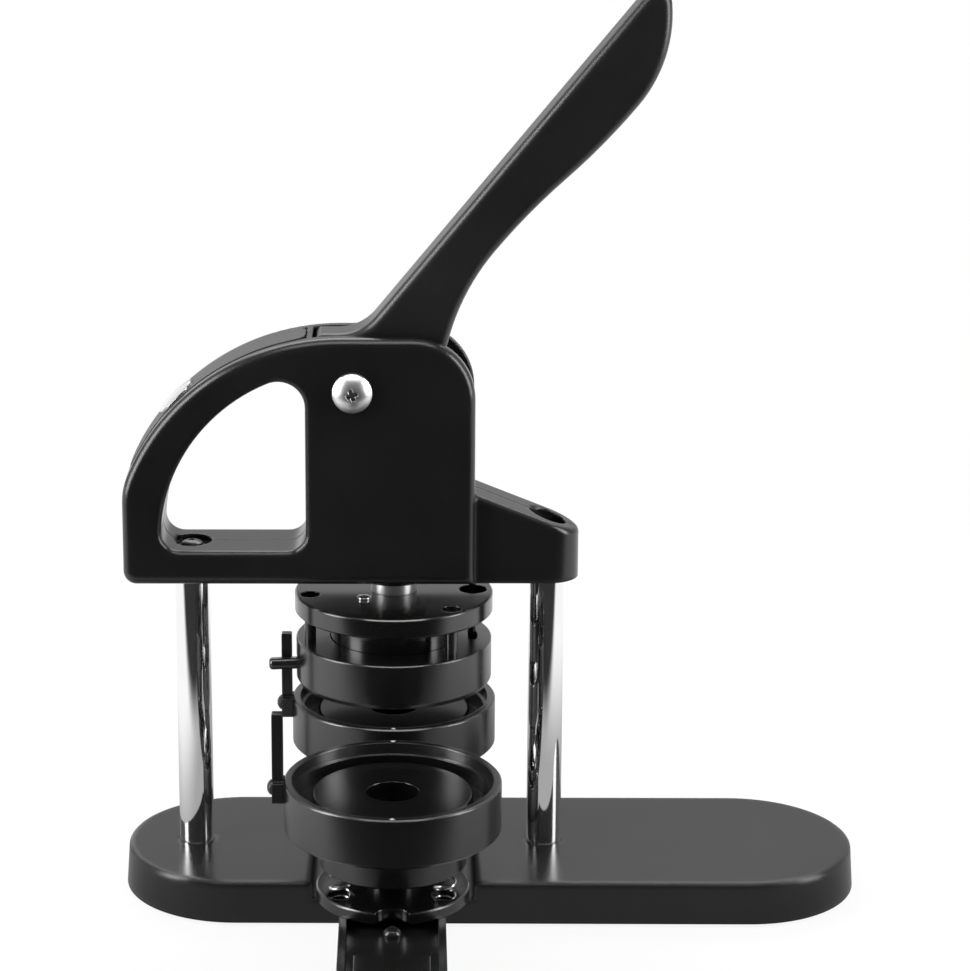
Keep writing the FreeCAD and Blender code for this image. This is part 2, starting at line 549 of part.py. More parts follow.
def lean(item):
    """Turn a piece about the arch so that its own Z axis points along the stud."""
    item.Placement = FreeCAD.Placement(item.Placement.Base, FreeCAD.Rotation(FreeCAD.Vector(0, 1, 0), 1))
    item.setExpression("Placement.Rotation.Angle", "90 - Sizes.stud_angle")


def make_grip_strip():
    body = new_body("grip_strip", "Sizes.arch_x", "0", ARCH_Z)
    side = new_sketch(body, "XZ_Plane")
    draw_strip(side, "0", "0", STRIP_TOP, "0", "90 - Sizes.stud_angle")
    extrude(body, side, "Sizes.strip_width", "Symmetric")
    depth = measure("Sizes.strip_depth")
    round_edges(body, "Sizes.strip_end_round", lambda edge: abs(edge.Length - depth) < 0.01)
    hole = new_sketch(body, "XY_Plane", STRIP_TOP)
    draw_circle(hole, "0", "0", half("stud_diameter", "Sizes.fit"))
    extrude(body, hole, "Sizes.strip_depth * 2", cut=True)
    lean(body)
    radius = half("stud_diameter")
    brim = f"({STRIP_TOP} + Sizes.stud_height / 3)"
    crown = f"({STRIP_TOP} + Sizes.stud_height)"
    corners = [("0", f"{STRIP_FLOOR} + Sizes.fit"), (radius, f"{STRIP_FLOOR} + Sizes.fit"), (radius, brim),
               ("0", crown)]
    rise = "(Sizes.stud_height * 2 / 3)"
    dome = f"({radius}^2 + {rise}^2) / (2 * {rise})"
    lean(turned("strip_stud", corners, {2: (dome, 1)}, "Sizes.arch_x", "0", ARCH_Z))


def make_ram_bush():
    """A lined bush for the ram with a thin lip under the head."""
    inner = half("ram_diameter", "Sizes.fit")
    outer = half("ram_diameter", "Sizes.fit + Sizes.bush_wall")
    lip = f"({outer} + Sizes.bush_lip)"
    corners = [(inner, "0 - Sizes.bush_lip"), (lip, "0 - Sizes.bush_lip"), (lip, "0"), (outer, "0"),
               (outer, "Sizes.bush_length"), (inner, "Sizes.bush_length")]
    turned("ram_bush", corners, x="Sizes.ram_x", z=HEAD_BOTTOM)


# Lever on its pivot

def make_pivot():
    """The bolt with its domed head in front, its nut behind and the bush in the lever."""
    face = half("head_thickness")
    shank, head = half("pivot_diameter"), half("pivot_head_diameter")
    brim, crown = f"({face} + Sizes.pivot_head_height / 3)", f"({face} + Sizes.pivot_head_height)"
    end = f"{face} + Sizes.nut_height + Sizes.bolt_end"
    rise = "(Sizes.pivot_head_height * 2 / 3)"
    dome = f"({head}^2 + {rise}^2) / (2 * {rise})"
    corners = [("0", f"-{crown}"), (head, f"-{brim}"), (head, f"-{face}"), (shank, f"-{face}"),
               (shank, end), ("0", end)]
    turned("pivot_bolt", corners, {0: (dome, 1)}, "Sizes.pivot_x", "0", PIVOT_Z, "XY_Plane")

    nut = new_body("pivot_nut", "Sizes.pivot_x", face, PIVOT_Z)
    hexagon = new_sketch(nut, "XZ_Plane")
    reach = "(Sizes.nut_diameter / 2 / cos(30))"
    draw_outline(hexagon, [(f"{reach} * cos({60 * n})", f"{reach} * sin({60 * n})") for n in range(6)])
    draw_circle(hexagon, "0", "0", half("pivot_diameter", "Sizes.fit"))
    extrude(nut, hexagon, "Sizes.nut_height", reverse=True)

    bore = half("pivot_diameter", "Sizes.fit")
    wall = f"({bore} + Sizes.pivot_bush_wall)"
    end = half("handle_thickness")
    turned("pivot_bush", [(bore, f"-{end}"), (wall, f"-{end}"), (wall, end), (bore, end)],
           None, "Sizes.pivot_x", "0", PIVOT_Z, "XY_Plane")


def handle_point(along, below):
    """A point beside the handle's upper edge, measured along it from beside the pivot and below it."""
    slope = "Sizes.handle_angle"
    across = f"(({along}) * cos({slope}) + (({below}) - Sizes.handle_rise) * sin({slope}))"
    up = f"(({along}) * sin({slope}) - (({below}) - Sizes.handle_rise) * cos({slope}))"
    return (across, up)


def draw_handle(sketch):
    """The lever from the front, clockwise from its root: hub, tail, upper edge, tip and grip."""
    slope, hub = "Sizes.handle_angle", "Sizes.hub_radius"
    meet = f"((Sizes.tail_top - Sizes.handle_rise * cos({slope})) / sin({slope}))"
    bend = f"(Sizes.throat_radius * tan({slope} / 2))"
    meet_x = f"({meet} * cos({slope}) - Sizes.handle_rise * sin({slope}))"
    nose = "Sizes.handle_nose"
    nose_place = f"(Sizes.handle_length - {nose})"
    run = f"({nose_place} - Sizes.bulge_place)"
    end_radius = f"(({run}^2 / (Sizes.bulge_width - 2 * {nose}) + Sizes.bulge_width) / 2)"
    share = f"({end_radius} / ({end_radius} - {nose}))"
    nose_below = f"(Sizes.bulge_width - {end_radius} + ({nose} - Sizes.bulge_width + {end_radius}) * {share})"
    swell, length = "(Sizes.bulge_width - Sizes.waist_width)", "(Sizes.bulge_place - Sizes.waist_place)"
    wave = f"(({length}^2 + {swell}^2) / (4 * {swell}))"
    fall, reach = "(Sizes.root_width - Sizes.waist_width)", "(Sizes.waist_place - Sizes.root_place)"
    root = f"(({reach}^2 + {fall}^2) / (2 * {fall}))"
    tail = "(0 - Sizes.tail_length)"
    corners = [handle_point("Sizes.root_place", "Sizes.root_width"),
               ("Sizes.root_foot_x", "0 - Sizes.root_foot_drop"),
               at_angle(hub, "Sizes.hub_start_angle"), at_angle(hub, "Sizes.hub_end_angle"),
               (tail, "Sizes.tail_top - Sizes.tail_bevel"), (f"{tail} + Sizes.tail_bevel", "Sizes.tail_top"),
               (f"{meet_x} - {bend}", "Sizes.tail_top"), handle_point(f"{meet} + {bend}", "0"),
               handle_point(nose_place, "0"),
               handle_point(f"Sizes.bulge_place + {run} * {share}", nose_below),
               handle_point("Sizes.bulge_place", "Sizes.bulge_width"),
               handle_point("(Sizes.bulge_place + Sizes.waist_place) / 2",
                            "(Sizes.bulge_width + Sizes.waist_width) / 2"),
               handle_point("Sizes.waist_place", "Sizes.waist_width")]
    bends = {2: (hub, -1), 6: ("Sizes.throat_radius", 1), 8: (nose, -1), 9: (end_radius, -1),
             10: (wave, -1), 11: (wave, 1), 12: (root, 1)}
    draw_outline(sketch, corners, bends)


def make_handle():
    body = new_body("handle", "Sizes.pivot_x", "0", PIVOT_Z)
    side = new_sketch(body, "XZ_Plane")
    draw_handle(side)
    extrude(body, side, "Sizes.handle_thickness", "Symmetric")
    face = measure(half("handle_thickness"))
    level = measure("Sizes.tail_top") - 0.01
    round_edges(body, "Sizes.handle_round", lambda edge: edge.BoundBox.ZMax > level
                and (lies_at(edge, "y", face) or lies_at(edge, "y", -face)) and edge.BoundBox.XLength > 3)

    swing = "Sizes.handle_swing_angle"
    middle = f"({swing} / 2)"
    room = "(Sizes.tang_width / 2 + 2 * Sizes.run_gap)"
    inner = f"({CRANK} - {room})"
    lift = f"({CRANK} * tan({middle}))"
    corner = f"({middle} + asin({room} / {inner}) / 1 deg)"
    low = "(0 - 2 * Sizes.hub_radius)"
    out = "(3 * Sizes.hub_radius)"
    fork = new_sketch(body, "XZ_Plane")
    corners = [(inner, low), (inner, "0"), (f"{inner} * cos({corner})", f"{inner} * sin({corner})"),
               (f"{CRANK} - {room} * sin({middle})", f"{lift} + {room} * cos({middle})"),
               (f"{CRANK} + {room} * cos({swing})", f"{lift} + {room} * sin({swing})"),
               (f"{CRANK} + {room} * cos({swing}) + {out} * sin({swing})",
                f"{lift} + {room} * sin({swing}) - {out} * cos({swing})"),
               (f"{CRANK} + {room} * cos({swing}) + {out} * sin({swing})", low)]
    draw_outline(fork, corners, {1: (inner, 1), 3: (room, -1)})
    extrude(body, fork, "Sizes.fork_gap", "Symmetric", cut=True)

    wide = half("drive_pin_diameter", "Sizes.slot_play")
    start = f"({CRANK} - Sizes.run_gap)"
    end = f"({CRANK} / cos({middle}) + Sizes.run_gap)"
    slot = new_sketch(body, "XZ_Plane")
    track = [(start, f"-{wide}"), (end, f"-{wide}"), (f"({end} + {wide})", "0"), (end, wide), (start, wide),
             (f"({start} - {wide})", "0")]
    corners = [(f"{a} * cos({middle}) - ({b}) * sin({middle})",
                f"{a} * sin({middle}) + ({b}) * cos({middle})") for a, b in track]
    draw_outline(slot, corners, {1: (wide, 1), 2: (wide, 1), 4: (wide, 1), 5: (wide, 1)})
    extrude(body, slot, "Sizes.handle_thickness * 2", "Symmetric", cut=True)

    bore = new_sketch(body, "XZ_Plane")
    draw_circle(bore, "0", "0", half("pivot_diameter", "2 * Sizes.fit + Sizes.pivot_bush_wall"))
    extrude(body, bore, "Sizes.handle_thickness * 2", "Symmetric", cut=True)


# Ram and what it carries

def make_ram():
    """Spigot, round shaft and a flat tang with the drive pin through it."""
    spigot, shaft = half("ram_spigot"), half("ram_diameter")
    top = f"({DRIVE_Z} - Sizes.tang_drop - {PLATE_BOTTOM})"
    bevel = "Sizes.deep_bevel"
    corners = [("0", "0"), (spigot, "0"), (spigot, "Sizes.plate_thickness"), (shaft, "Sizes.plate_thickness"),
               (shaft, f"{top} - {bevel}"), (f"{shaft} - {bevel}", top), ("0", top)]
    body = turned("ram", corners, x="Sizes.ram_x", z=PLATE_BOTTOM)
    side = half("tang_width")
    pin = f"({DRIVE_Z} - {PLATE_BOTTOM})"
    tang = new_sketch(body, "XZ_Plane")
    corners = [(f"-{side}", f"{top} - 2"), (side, f"{top} - 2"), (side, pin), ("0", f"{pin} + {side}"),
               (f"-{side}", pin)]
    draw_outline(tang, corners, {2: (side, 1), 3: (side, 1)})
    extrude(body, tang, "Sizes.tang_thickness", "Symmetric")
    hole = new_sketch(body, "XZ_Plane")
    draw_circle(hole, "0", pin, half("drive_pin_diameter", "Sizes.fit"))
    extrude(body, hole, "Sizes.tang_thickness * 2", "Symmetric", cut=True)

    radius, end = half("drive_pin_diameter"), half("handle_thickness", "0 - Sizes.slide_gap")
    bevel = "Sizes.fine_bevel"
    corners = [("0", f"-{end}"), (f"{radius} - {bevel}", f"-{end}"), (radius, f"{bevel} - {end}"),
               (radius, f"{end} - {bevel}"), (f"{radius} - {bevel}", end), ("0", end)]
    turned("drive_pin", corners, None, "Sizes.ram_x", "0", DRIVE_Z, "XY_Plane")


def at_angle(ring, angle):
    return (f"{ring} * cos({angle})", f"{ring} * sin({angle})")


def make_top_plate():
    bore, radius = half("ram_spigot", "Sizes.fit"), half("plate_diameter")
    thick, bevel = "Sizes.plate_thickness", "Sizes.plate_chamfer"
    corners = [(bore, "0"), (f"{radius} - {bevel}", "0"), (radius, bevel), (radius, f"{thick} - {bevel}"),
               (f"{radius} - {bevel}", thick), (bore, thick)]
    body = turned("top_plate", corners, x="Sizes.ram_x", z=PLATE_BOTTOM)
    post = at_angle("Sizes.post_ring", "Sizes.guide_post_angle")
    drill(body, [(*post, half("counterbore"))], thick, "Sizes.counterbore_depth", repeat=3)
    drill(body, [(*post, half("guide_post_diameter", "Sizes.run_gap"))], thick, f"{thick} * 2", repeat=3)
    drill(body, [("Sizes.stop_ring", "0", half("stop_hole_diameter"))], thick, f"{thick} * 2")
    screw = at_angle("Sizes.plate_screw_ring", "Sizes.plate_screw_angle")
    drill(body, [(*screw, half("plate_screw_diameter", "Sizes.fit"))], thick, f"{thick} * 2", repeat=2)


def make_core():
    radius, bevel = half("core_diameter"), "Sizes.core_bevel"
    height = f"({PLATE_BOTTOM} - {CORE_BOTTOM} - Sizes.pad_thickness)"
    corners = [("0", "0"), (f"{radius} - {bevel}", "0"), (radius, bevel), (radius, height), ("0", height)]
    core = turned("core", corners, x="Sizes.ram_x", z=f"{CORE_BOTTOM} + Sizes.pad_thickness")
    screw = at_angle("Sizes.plate_screw_ring", "Sizes.plate_screw_angle")
    drill(core, [(*screw, half("plate_screw_diameter", "Sizes.fit"))], height,
          "Sizes.plate_screw_grip + Sizes.hole_spare", repeat=2)
    radius, edge = half("pad_diameter"), "Sizes.pad_round"
    corners = [("0", "0"), (f"{radius} - {edge}", "0"), (radius, edge), (radius, "Sizes.pad_thickness"),
               ("0", "Sizes.pad_thickness")]
    turned("press_pad", corners, {1: (edge, 1)}, x="Sizes.ram_x", z=CORE_BOTTOM)

    shank, head = half("plate_screw_diameter"), half("plate_screw_head")
    foot = "(0 - Sizes.plate_thickness - Sizes.plate_screw_grip)"
    brim = "Sizes.deep_bevel"
    rise = f"({head} * 0.4)"
    dome = f"({head}^2 + {rise}^2) / (2 * {rise})"
    corners = [("0", foot), (shank, foot), (shank, "0"), (head, "0"), (head, brim), ("0", f"{brim} + {rise}")]
    for number in (1, 2):
        x, y = at_angle("Sizes.plate_screw_ring", f"Sizes.plate_screw_angle + {180 * number - 180}")
        turned(f"plate_screw_{number}", corners, {4: (dome, 1)}, f"Sizes.ram_x + {x}", y, PLATE_TOP)


# Upper ring with its guide posts, and the selector inside it

def make_upper_ring():
    outer, inner = half("ring_diameter"), half("core_diameter", "Sizes.run_gap")
    top, bevel, edge = "Sizes.ring_height", "Sizes.ring_bevel", "Sizes.fine_bevel"
    groove_radius = f"({SKIRT_RADIUS} + Sizes.retainer_bite + Sizes.fit)"
    groove_top = "(Sizes.selector_floor - Sizes.slide_gap + Sizes.fit)"
    groove_bottom = f"({groove_top} - Sizes.retainer_thickness - 2 * Sizes.fit)"
    corners = [(SKIRT_RADIUS, "0"), (f"{outer} - {bevel} / 2", "0"), (outer, bevel),
               (outer, f"{top} - {edge}"), (f"{outer} - {edge}", top), (inner, top),
               (inner, SELECTOR_ROOF), (SKIRT_RADIUS, SELECTOR_ROOF), (SKIRT_RADIUS, groove_top),
               (groove_radius, groove_top), (groove_radius, groove_bottom), (SKIRT_RADIUS, groove_bottom)]
    body = turned("upper_ring", corners, x="Sizes.ram_x", z=RING_BOTTOM)

    play = f"({HALF_SWING} + asin({half('pin_diameter', 'Sizes.run_gap')} / {SKIRT_RADIUS}) / 1 deg)"
    low = "(Sizes.selector_floor + Sizes.selector_height / 2 - Sizes.pin_diameter / 2 - Sizes.run_gap)"
    near, far = f"(Sizes.cut_over - {SKIRT_RADIUS})", f"(0 - {outer} - Sizes.cut_over)"
    window = new_sketch(body, "XY_Plane", low)
    draw_outline(window, [(near, f"{near} * tan({play})"), (far, f"{far} * tan({play})"),
                          (far, f"-{far} * tan({play})"), (near, f"-{near} * tan({play})")])
    extrude(body, window, "Sizes.pin_diameter + 2 * Sizes.run_gap", reverse=True, cut=True)

    room = half("stop_diameter", "Sizes.run_gap")
    ring_in, ring_out = f"(Sizes.stop_ring - {room})", f"(Sizes.stop_ring + {room})"
    reach = f"({HALF_SWING} + asin({room} / {ring_in}) / 1 deg)"
    track = new_sketch(body, "XY_Plane", top)
    corners = [at_angle(ring_in, f"(0 - {reach})"), at_angle(ring_out, f"(0 - {reach})"),
               at_angle(ring_out, reach), at_angle(ring_in, reach)]
    draw_outline(track, corners, {1: (ring_out, 1), 3: (ring_in, -1)})
    extrude(body, track, f"{top} - {SELECTOR_ROOF} + Sizes.cut_over", cut=True)
    post = at_angle("Sizes.post_ring", "Sizes.guide_post_angle")
    drill(body, [(*post, half("guide_post_diameter", "Sizes.fit"))], top, "Sizes.guide_post_hold", repeat=3)

    outer = f"({SKIRT_RADIUS} + Sizes.retainer_bite)"
    inner = f"({outer} - Sizes.retainer_width)"
    thick = "Sizes.retainer_thickness"
    turned("selector_retainer", [(inner, "0"), (outer, "0"), (outer, thick), (inner, thick)],
           x="Sizes.ram_x", z=f"{RING_BOTTOM} + {groove_top} - Sizes.fit - {thick}")


def make_guide_posts():
    shank, head = half("guide_post_diameter"), half("guide_head_diameter")
    plate_seat = "(Sizes.plate_gap + Sizes.plate_thickness - Sizes.counterbore_depth)"
    seat = f"(Sizes.guide_post_hold + {plate_seat} + Sizes.fit)"
    top, bevel = f"({seat} + Sizes.guide_head_height)", "Sizes.fine_bevel"
    corners = [("0", "0"), (shank, "0"), (shank, seat), (head, seat), (head, f"{top} - {bevel}"),
               (f"{head} - {bevel}", top), ("0", top)]
    for number in range(3):
        x, y = at_angle("Sizes.post_ring", f"Sizes.guide_post_angle + {120 * number}")
        turned(f"guide_post_{number + 1}", corners, None, f"Sizes.ram_x + {x}", y,
               f"{RING_TOP} - Sizes.guide_post_hold")


def make_selector():
    """A ring that swings inside the upper ring, with the pin that the shift posts push."""
    outer = f"({SKIRT_RADIUS} - Sizes.run_gap)"
    inner = f"({outer} - Sizes.selector_width)"
    tall = "Sizes.selector_height"
    level = f"{RING_BOTTOM} + Sizes.selector_floor"
    ring = turned("selector_ring", [(inner, "0"), (outer, "0"), (outer, tall), (inner, tall)],
                  x="Sizes.ram_x", z=level)
    bore = new_sketch(ring, "YZ_Plane")
    draw_circle(bore, "0", f"{tall} / 2", half("pin_diameter", "Sizes.fit"))
    extrude(ring, bore, "Sizes.ring_diameter", cut=True)
    stop = ("Sizes.stop_ring", "0", half("stop_diameter", "Sizes.fit"))
    drill(ring, [stop], tall, f"{tall} - Sizes.stop_web")
    turn_about_z(ring, HALF_SWING)

    radius, tip, edge = half("pin_diameter"), "(0 - Sizes.pin_reach)", "Sizes.pin_tip_round"
    corners = [("0 - Sizes.pin_root", "0"), ("0 - Sizes.pin_root", radius), (f"{tip} + {edge}", radius),
               (tip, f"{radius} - {edge}"), (tip, "0")]
    pin = turned("selector_pin", corners, {2: (edge, 1)}, "Sizes.ram_x", "0", f"{level} + {tall} / 2",
                 "XY_Plane", "H_Axis")
    turn_about_z(pin, HALF_SWING)

    radius, bevel = half("stop_diameter"), "Sizes.fine_bevel"
    length = f"({PLATE_BOTTOM} + Sizes.stop_entry - {level} - Sizes.stop_web)"
    corners = [("0", "0"), (radius, "0"), (radius, f"{length} - {bevel}"), (f"{radius} - {bevel}", length),
               ("0", length)]
    x, y = at_angle("Sizes.stop_ring", HALF_SWING)
    turned("stop_post", corners, None, f"Sizes.ram_x + {x}", y, f"{level} + Sizes.stop_web")


# Slide guide, keepers and die slide

def make_slide_guide():
    outer, inner = half("guide_width"), half("slide_width", "Sizes.run_gap")
    floor = "Sizes.guide_floor"
    wall = f"({floor} + Sizes.slide_gap + Sizes.slide_groove_level + Sizes.slide_gap)"
    body = new_body("slide_guide", "Sizes.ram_x", "0", CHANNEL_FLOOR)
    section = new_sketch(body, "XZ_Plane")
    draw_outline(section, [(f"-{outer}", "0"), (outer, "0"), (outer, wall), (inner, wall), (inner, floor),
                           (f"-{inner}", floor), (f"-{inner}", wall), (f"-{outer}", wall)])
    extrude(body, section, "Sizes.guide_length", "Symmetric")
    bite = f"({inner} - Sizes.run_gap - Sizes.keeper_bite)"
    top = f"({wall} + Sizes.keeper_thickness)"
    bevel = "Sizes.bevel"
    for label, side in (("left_keeper", "-"), ("right_keeper", "")):
        keeper = new_body(label, "Sizes.ram_x", "0", CHANNEL_FLOOR)
        section = new_sketch(keeper, "XZ_Plane")
        draw_outline(section, [(side + bite, wall), (side + outer, wall), (side + outer, f"{top} - {bevel}"),
                               (f"{side}({outer} - {bevel})", top), (side + bite, top)])
        extrude(keeper, section, "Sizes.guide_length", "Symmetric")


def make_die_slide():
    """A channel bar with side grooves for the keepers and a pull block at the front end."""
    edge = half("slide_width")
    body = new_body("die_slide", "Sizes.ram_x", "0", SLIDE_BOTTOM)
    low = "Sizes.slide_groove_level"
    high = f"({low} + Sizes.keeper_thickness + 2 * Sizes.slide_gap)"
    deep = f"({edge} - Sizes.keeper_bite - Sizes.run_gap)"
    top, floor = "Sizes.slide_height", "(Sizes.slide_height - Sizes.slide_channel)"
    rail = f"({edge} - Sizes.slide_rail)"
    right = [(edge, "0"), (edge, low), (deep, low), (deep, high), (edge, high), (edge, top), (rail, top),
             (rail, floor)]
    left = [(f"-{across}", up) for across, up in reversed(right)]
    section = new_sketch(body, "XZ_Plane", "0 - Sizes.slide_rear")
    draw_outline(section, right + left)
    extrude(body, section, "Sizes.slide_front + Sizes.slide_rear")

    front, back = "(0 - Sizes.slide_front)", "(Sizes.pull_length - Sizes.slide_front)"
    nose = "(0 - Sizes.rail_front)"
    ahead, beside = f"({front} - Sizes.cut_over)", f"({edge} + Sizes.cut_over)"
    trim = new_sketch(body, "XY_Plane", top)
    for side in ("-", ""):
        draw_outline(trim, [(side + rail, ahead), (side + beside, ahead), (side + beside, nose),
                            (side + rail, f"{nose} - Sizes.slide_rail")])
    extrude(body, trim, "Sizes.slide_channel", cut=True)
    block = new_sketch(body, "XY_Plane", floor)
    pull = half("pull_width")
    draw_outline(block, [(f"-{pull}", front), (pull, front), (pull, back), (f"-{pull}", back)])
    extrude(body, block, "Sizes.slide_channel - Sizes.pull_drop")
    crest = measure("Sizes.slide_height - Sizes.pull_drop")
    round_edges(body, "Sizes.pull_round", lambda edge: lies_at(edge, "z", crest))
    corner = "Sizes.pull_corner"
    ends = new_sketch(body, "XY_Plane", top)
    for side, turn in (("-", -1), ("", 1)):
        corners = [(f"{side}({edge} - {corner})", front), (side + edge, f"{front} + {corner}"),
                   (side + beside, f"{front} + {corner}"), (side + beside, ahead),
                   (f"{side}({edge} - {corner})", ahead)]
        draw_outline(ends, corners, {0: (corner, turn)})
    extrude(body, ends, f"{top} * 2", cut=True)
    holes = [("0", f"{centre} - Sizes.locator_reach", half("screw_diameter", "Sizes.fit"))
             for centre in DIE_CENTRES.values()]
    drill(body, holes, floor, f"{floor} - Sizes.locator_web")


# Lower dies: a fixed flange and pedestal, and a cup that floats on three springs

DIE_CENTRES = {"rear": "0", "front": "(0 - Sizes.die_pitch)"}
SPRING_POCKET = half("spring_diameter", "Sizes.spring_seat_gap")


def make_flange(label, y):
    bore, radius, bevel = half("pedestal_boss", "Sizes.fit"), half("flange_diameter"), "Sizes.bevel"
    thick = "Sizes.flange_thickness"
    corners = [(bore, "0"), (radius, "0"), (radius, f"{thick} - {bevel}"), (f"{radius} - {bevel}", thick),
               (bore, thick)]
    body = turned(label, corners, x="Sizes.ram_x", y=y, z=SLIDE_TOP)
    side = half("notch_width")
    centre = f"(0 - Sizes.notch_reach - {side})"
    mouth = f"(0 - {radius} - Sizes.cut_over)"
    notch = new_sketch(body, "XY_Plane", thick)
    corners = [(side, mouth), (side, centre), ("0", f"{centre} + {side}"), (f"-{side}", centre),
               (f"-{side}", mouth)]
    draw_outline(notch, corners, {1: (side, 1), 2: (side, 1)})
    cut = extrude(body, notch, f"{thick} * 2", cut=True)
    pattern_round(body, cut, notch, 2)
    x, y = at_angle("Sizes.spring_ring", "Sizes.spring_angle")
    drill(body, [(x, y, SPRING_POCKET)], thick, "Sizes.spring_seat", repeat=3)


def make_pedestal(label, y):
    boss, neck, disc, hole = (half(name) for name in (
        "pedestal_boss", "pedestal_neck", "pedestal_diameter", "pedestal_hole"))
    top, bevel = f"({PEDESTAL_TOP} - {SLIDE_FLOOR})", "Sizes.deep_bevel"
    under = f"({top} - Sizes.pedestal_height)"
    waist = f"({CUP_BOTTOM} - {SLIDE_FLOOR} + Sizes.boss_entry)"
    hole_floor = f"({top} - Sizes.pedestal_hole_depth)"
    corners = [("0", "0"), (boss, "0"), (boss, waist), (neck, waist), (neck, under), (disc, under),
               (disc, f"{top} - {bevel}"), (f"{disc} - {bevel}", top), (hole, top), (hole, hole_floor),
               ("0", hole_floor)]
    turned(label, corners, x="Sizes.ram_x", y=y, z=SLIDE_FLOOR)


def make_cup(label, y):
    bore = half("pedestal_neck", "Sizes.neck_gap")
    well = half("pedestal_diameter", "Sizes.pedestal_gap")
    body_radius, rim = half("cup_body_diameter"), half("cup_diameter")
    shoulder, top = "Sizes.cup_body_height", CUP_HEIGHT
    mouth = f"({rim} - Sizes.cup_rim_wall)"
    step = f"({mouth} - Sizes.cup_taper)"
    step_z = f"({top} - Sizes.cup_step_depth)"
    shelf = f"({top} - Sizes.pedestal_depth - Sizes.pedestal_height - Sizes.slide_gap)"
    ledge = f"({step} - Sizes.cup_step_ledge)"
    pit = f"({step_z} - Sizes.cup_pit_depth)"
    foot_bevel, edge, belt = "Sizes.deep_bevel", "Sizes.bevel", "Sizes.cup_belt_bevel"
    corners = [(bore, "0"), (f"{body_radius} - {foot_bevel}", "0"), (body_radius, foot_bevel),
               (body_radius, shoulder), (f"{rim} - {belt}", shoulder), (rim, f"{shoulder} + {belt}"),
               (rim, f"{top} - {edge}"), (f"{rim} - {edge}", top), (mouth, top), (step, step_z),
               (ledge, step_z), (ledge, pit), (well, pit), (well, shelf), (bore, shelf)]
    body = turned(label, corners, x="Sizes.ram_x", y=y, z=CUP_BOTTOM)
    x, along = at_angle("Sizes.spring_ring", "Sizes.spring_angle")
    drill(body, [(x, along, SPRING_POCKET)], "0", "Sizes.spring_seat", upward=True, repeat=3)
    screw = new_sketch(body, "YZ_Plane", f"0 - {rim} - Sizes.cut_over")
    draw_circle(screw, "0", f"{top} - Sizes.post_screw_drop", half("post_screw_diameter", "Sizes.fit"))
    extrude(body, screw, "Sizes.cup_rim_wall + Sizes.cut_over + Sizes.slide_gap", reverse=True, cut=True)


def make_shift_post(name, y):
    """An upright bar screwed to the left of a cup; its foot is hollowed to the rim."""
    rim = half("cup_diameter", "Sizes.fit")
    outer = f"({half('cup_diameter')} + Sizes.fit * 2 + Sizes.post_width)"
    foot = f"{RIM_TOP} - Sizes.post_drop"
    body = new_body(f"{name}_shift_post", "Sizes.ram_x", y, foot)
    spread = half("post_foot_width")
    touch = f"sqrt({rim}^2 - {spread}^2)"
    plan = new_sketch(body, "XY_Plane")
    corners = [(f"-{outer}", f"-{spread}"), (f"-{touch}", f"-{spread}"), (f"-{touch}", spread),
               (f"-{outer}", spread)]
    draw_outline(plan, corners, {1: (rim, -1)})
    extrude(body, plan, "Sizes.post_foot_height")
    side = half("post_width")
    bar = new_sketch(body, "XY_Plane")
    inner = f"({outer} - Sizes.post_width)"
    draw_outline(bar, [(f"-{outer}", f"-{side}"), (f"-{inner}", f"-{side}"), (f"-{inner}", side),
                       (f"-{outer}", side)])
    extrude(body, bar, "Sizes.post_height")
    top = measure("Sizes.post_height")
    round_edges(body, "Sizes.deep_bevel", lambda edge: lies_at(edge, "z", top))
    height = "(Sizes.post_drop - Sizes.post_screw_drop)"
    hole = new_sketch(body, "YZ_Plane")
    draw_circle(hole, "0", height, half("post_screw_diameter", "Sizes.fit"))
    extrude(body, hole, f"{outer} + Sizes.wide_cut_over", cut=True)

    shank, head = half("post_screw_diameter"), half("post_screw_head")
    seat, tip = f"(0 - {outer})", f"(Sizes.cup_rim_wall - {half('cup_diameter')})"
    brim, rise = "Sizes.bevel", f"({head} / 2)"
    dome = f"({head}^2 + {rise}^2) / (2 * {rise})"
    corners = [(f"{seat} - {brim} - {rise}", "0"), (tip, "0"), (tip, shank), (seat, shank), (seat, head),
               (f"{seat} - {brim}", head)]
    turned(f"{name}_post_screw", corners, {5: (dome, 1)}, "Sizes.ram_x", y, f"{foot} + {height}",
           "XY_Plane", "H_Axis")


def biarc(start, heading, end, leaving):
    """Two arcs that join two points with given directions and meet smoothly."""
    chord = end - start
    total = heading + leaving
    bend = 2 * (1 - heading.dot(leaving))
    along = chord.dot(total)
    reach = (math.sqrt(along ** 2 + bend * chord.dot(chord)) - along) / bend
    knee, elbow = start + heading * reach, end - leaving * reach
    joint = (knee + elbow) / 2
    arcs = []
    for first, corner, last in ((start, knee, joint), (joint, elbow, end)):
        inward = ((first + last) / 2 - corner).normalize()
        half_chord = (last - first).Length / 2
        leg = (corner - first).Length
        height = ((first + last) / 2 - corner).Length
        radius = leg * half_chord / height
        to_arc = math.sqrt(radius ** 2 + leg ** 2) - radius
        arcs.append(Part.Arc(first, corner + inward * to_arc, last).toShape())
    return arcs


def helix_point(angle, radius, pitch):
    """Point and direction on a helix, starting at height zero."""
    point = FreeCAD.Vector(radius * math.cos(angle), radius * math.sin(angle), pitch * angle / (2 * math.pi))
    heading = FreeCAD.Vector(-radius * math.sin(angle), radius * math.cos(angle), pitch / (2 * math.pi))
    return point, heading.normalize()


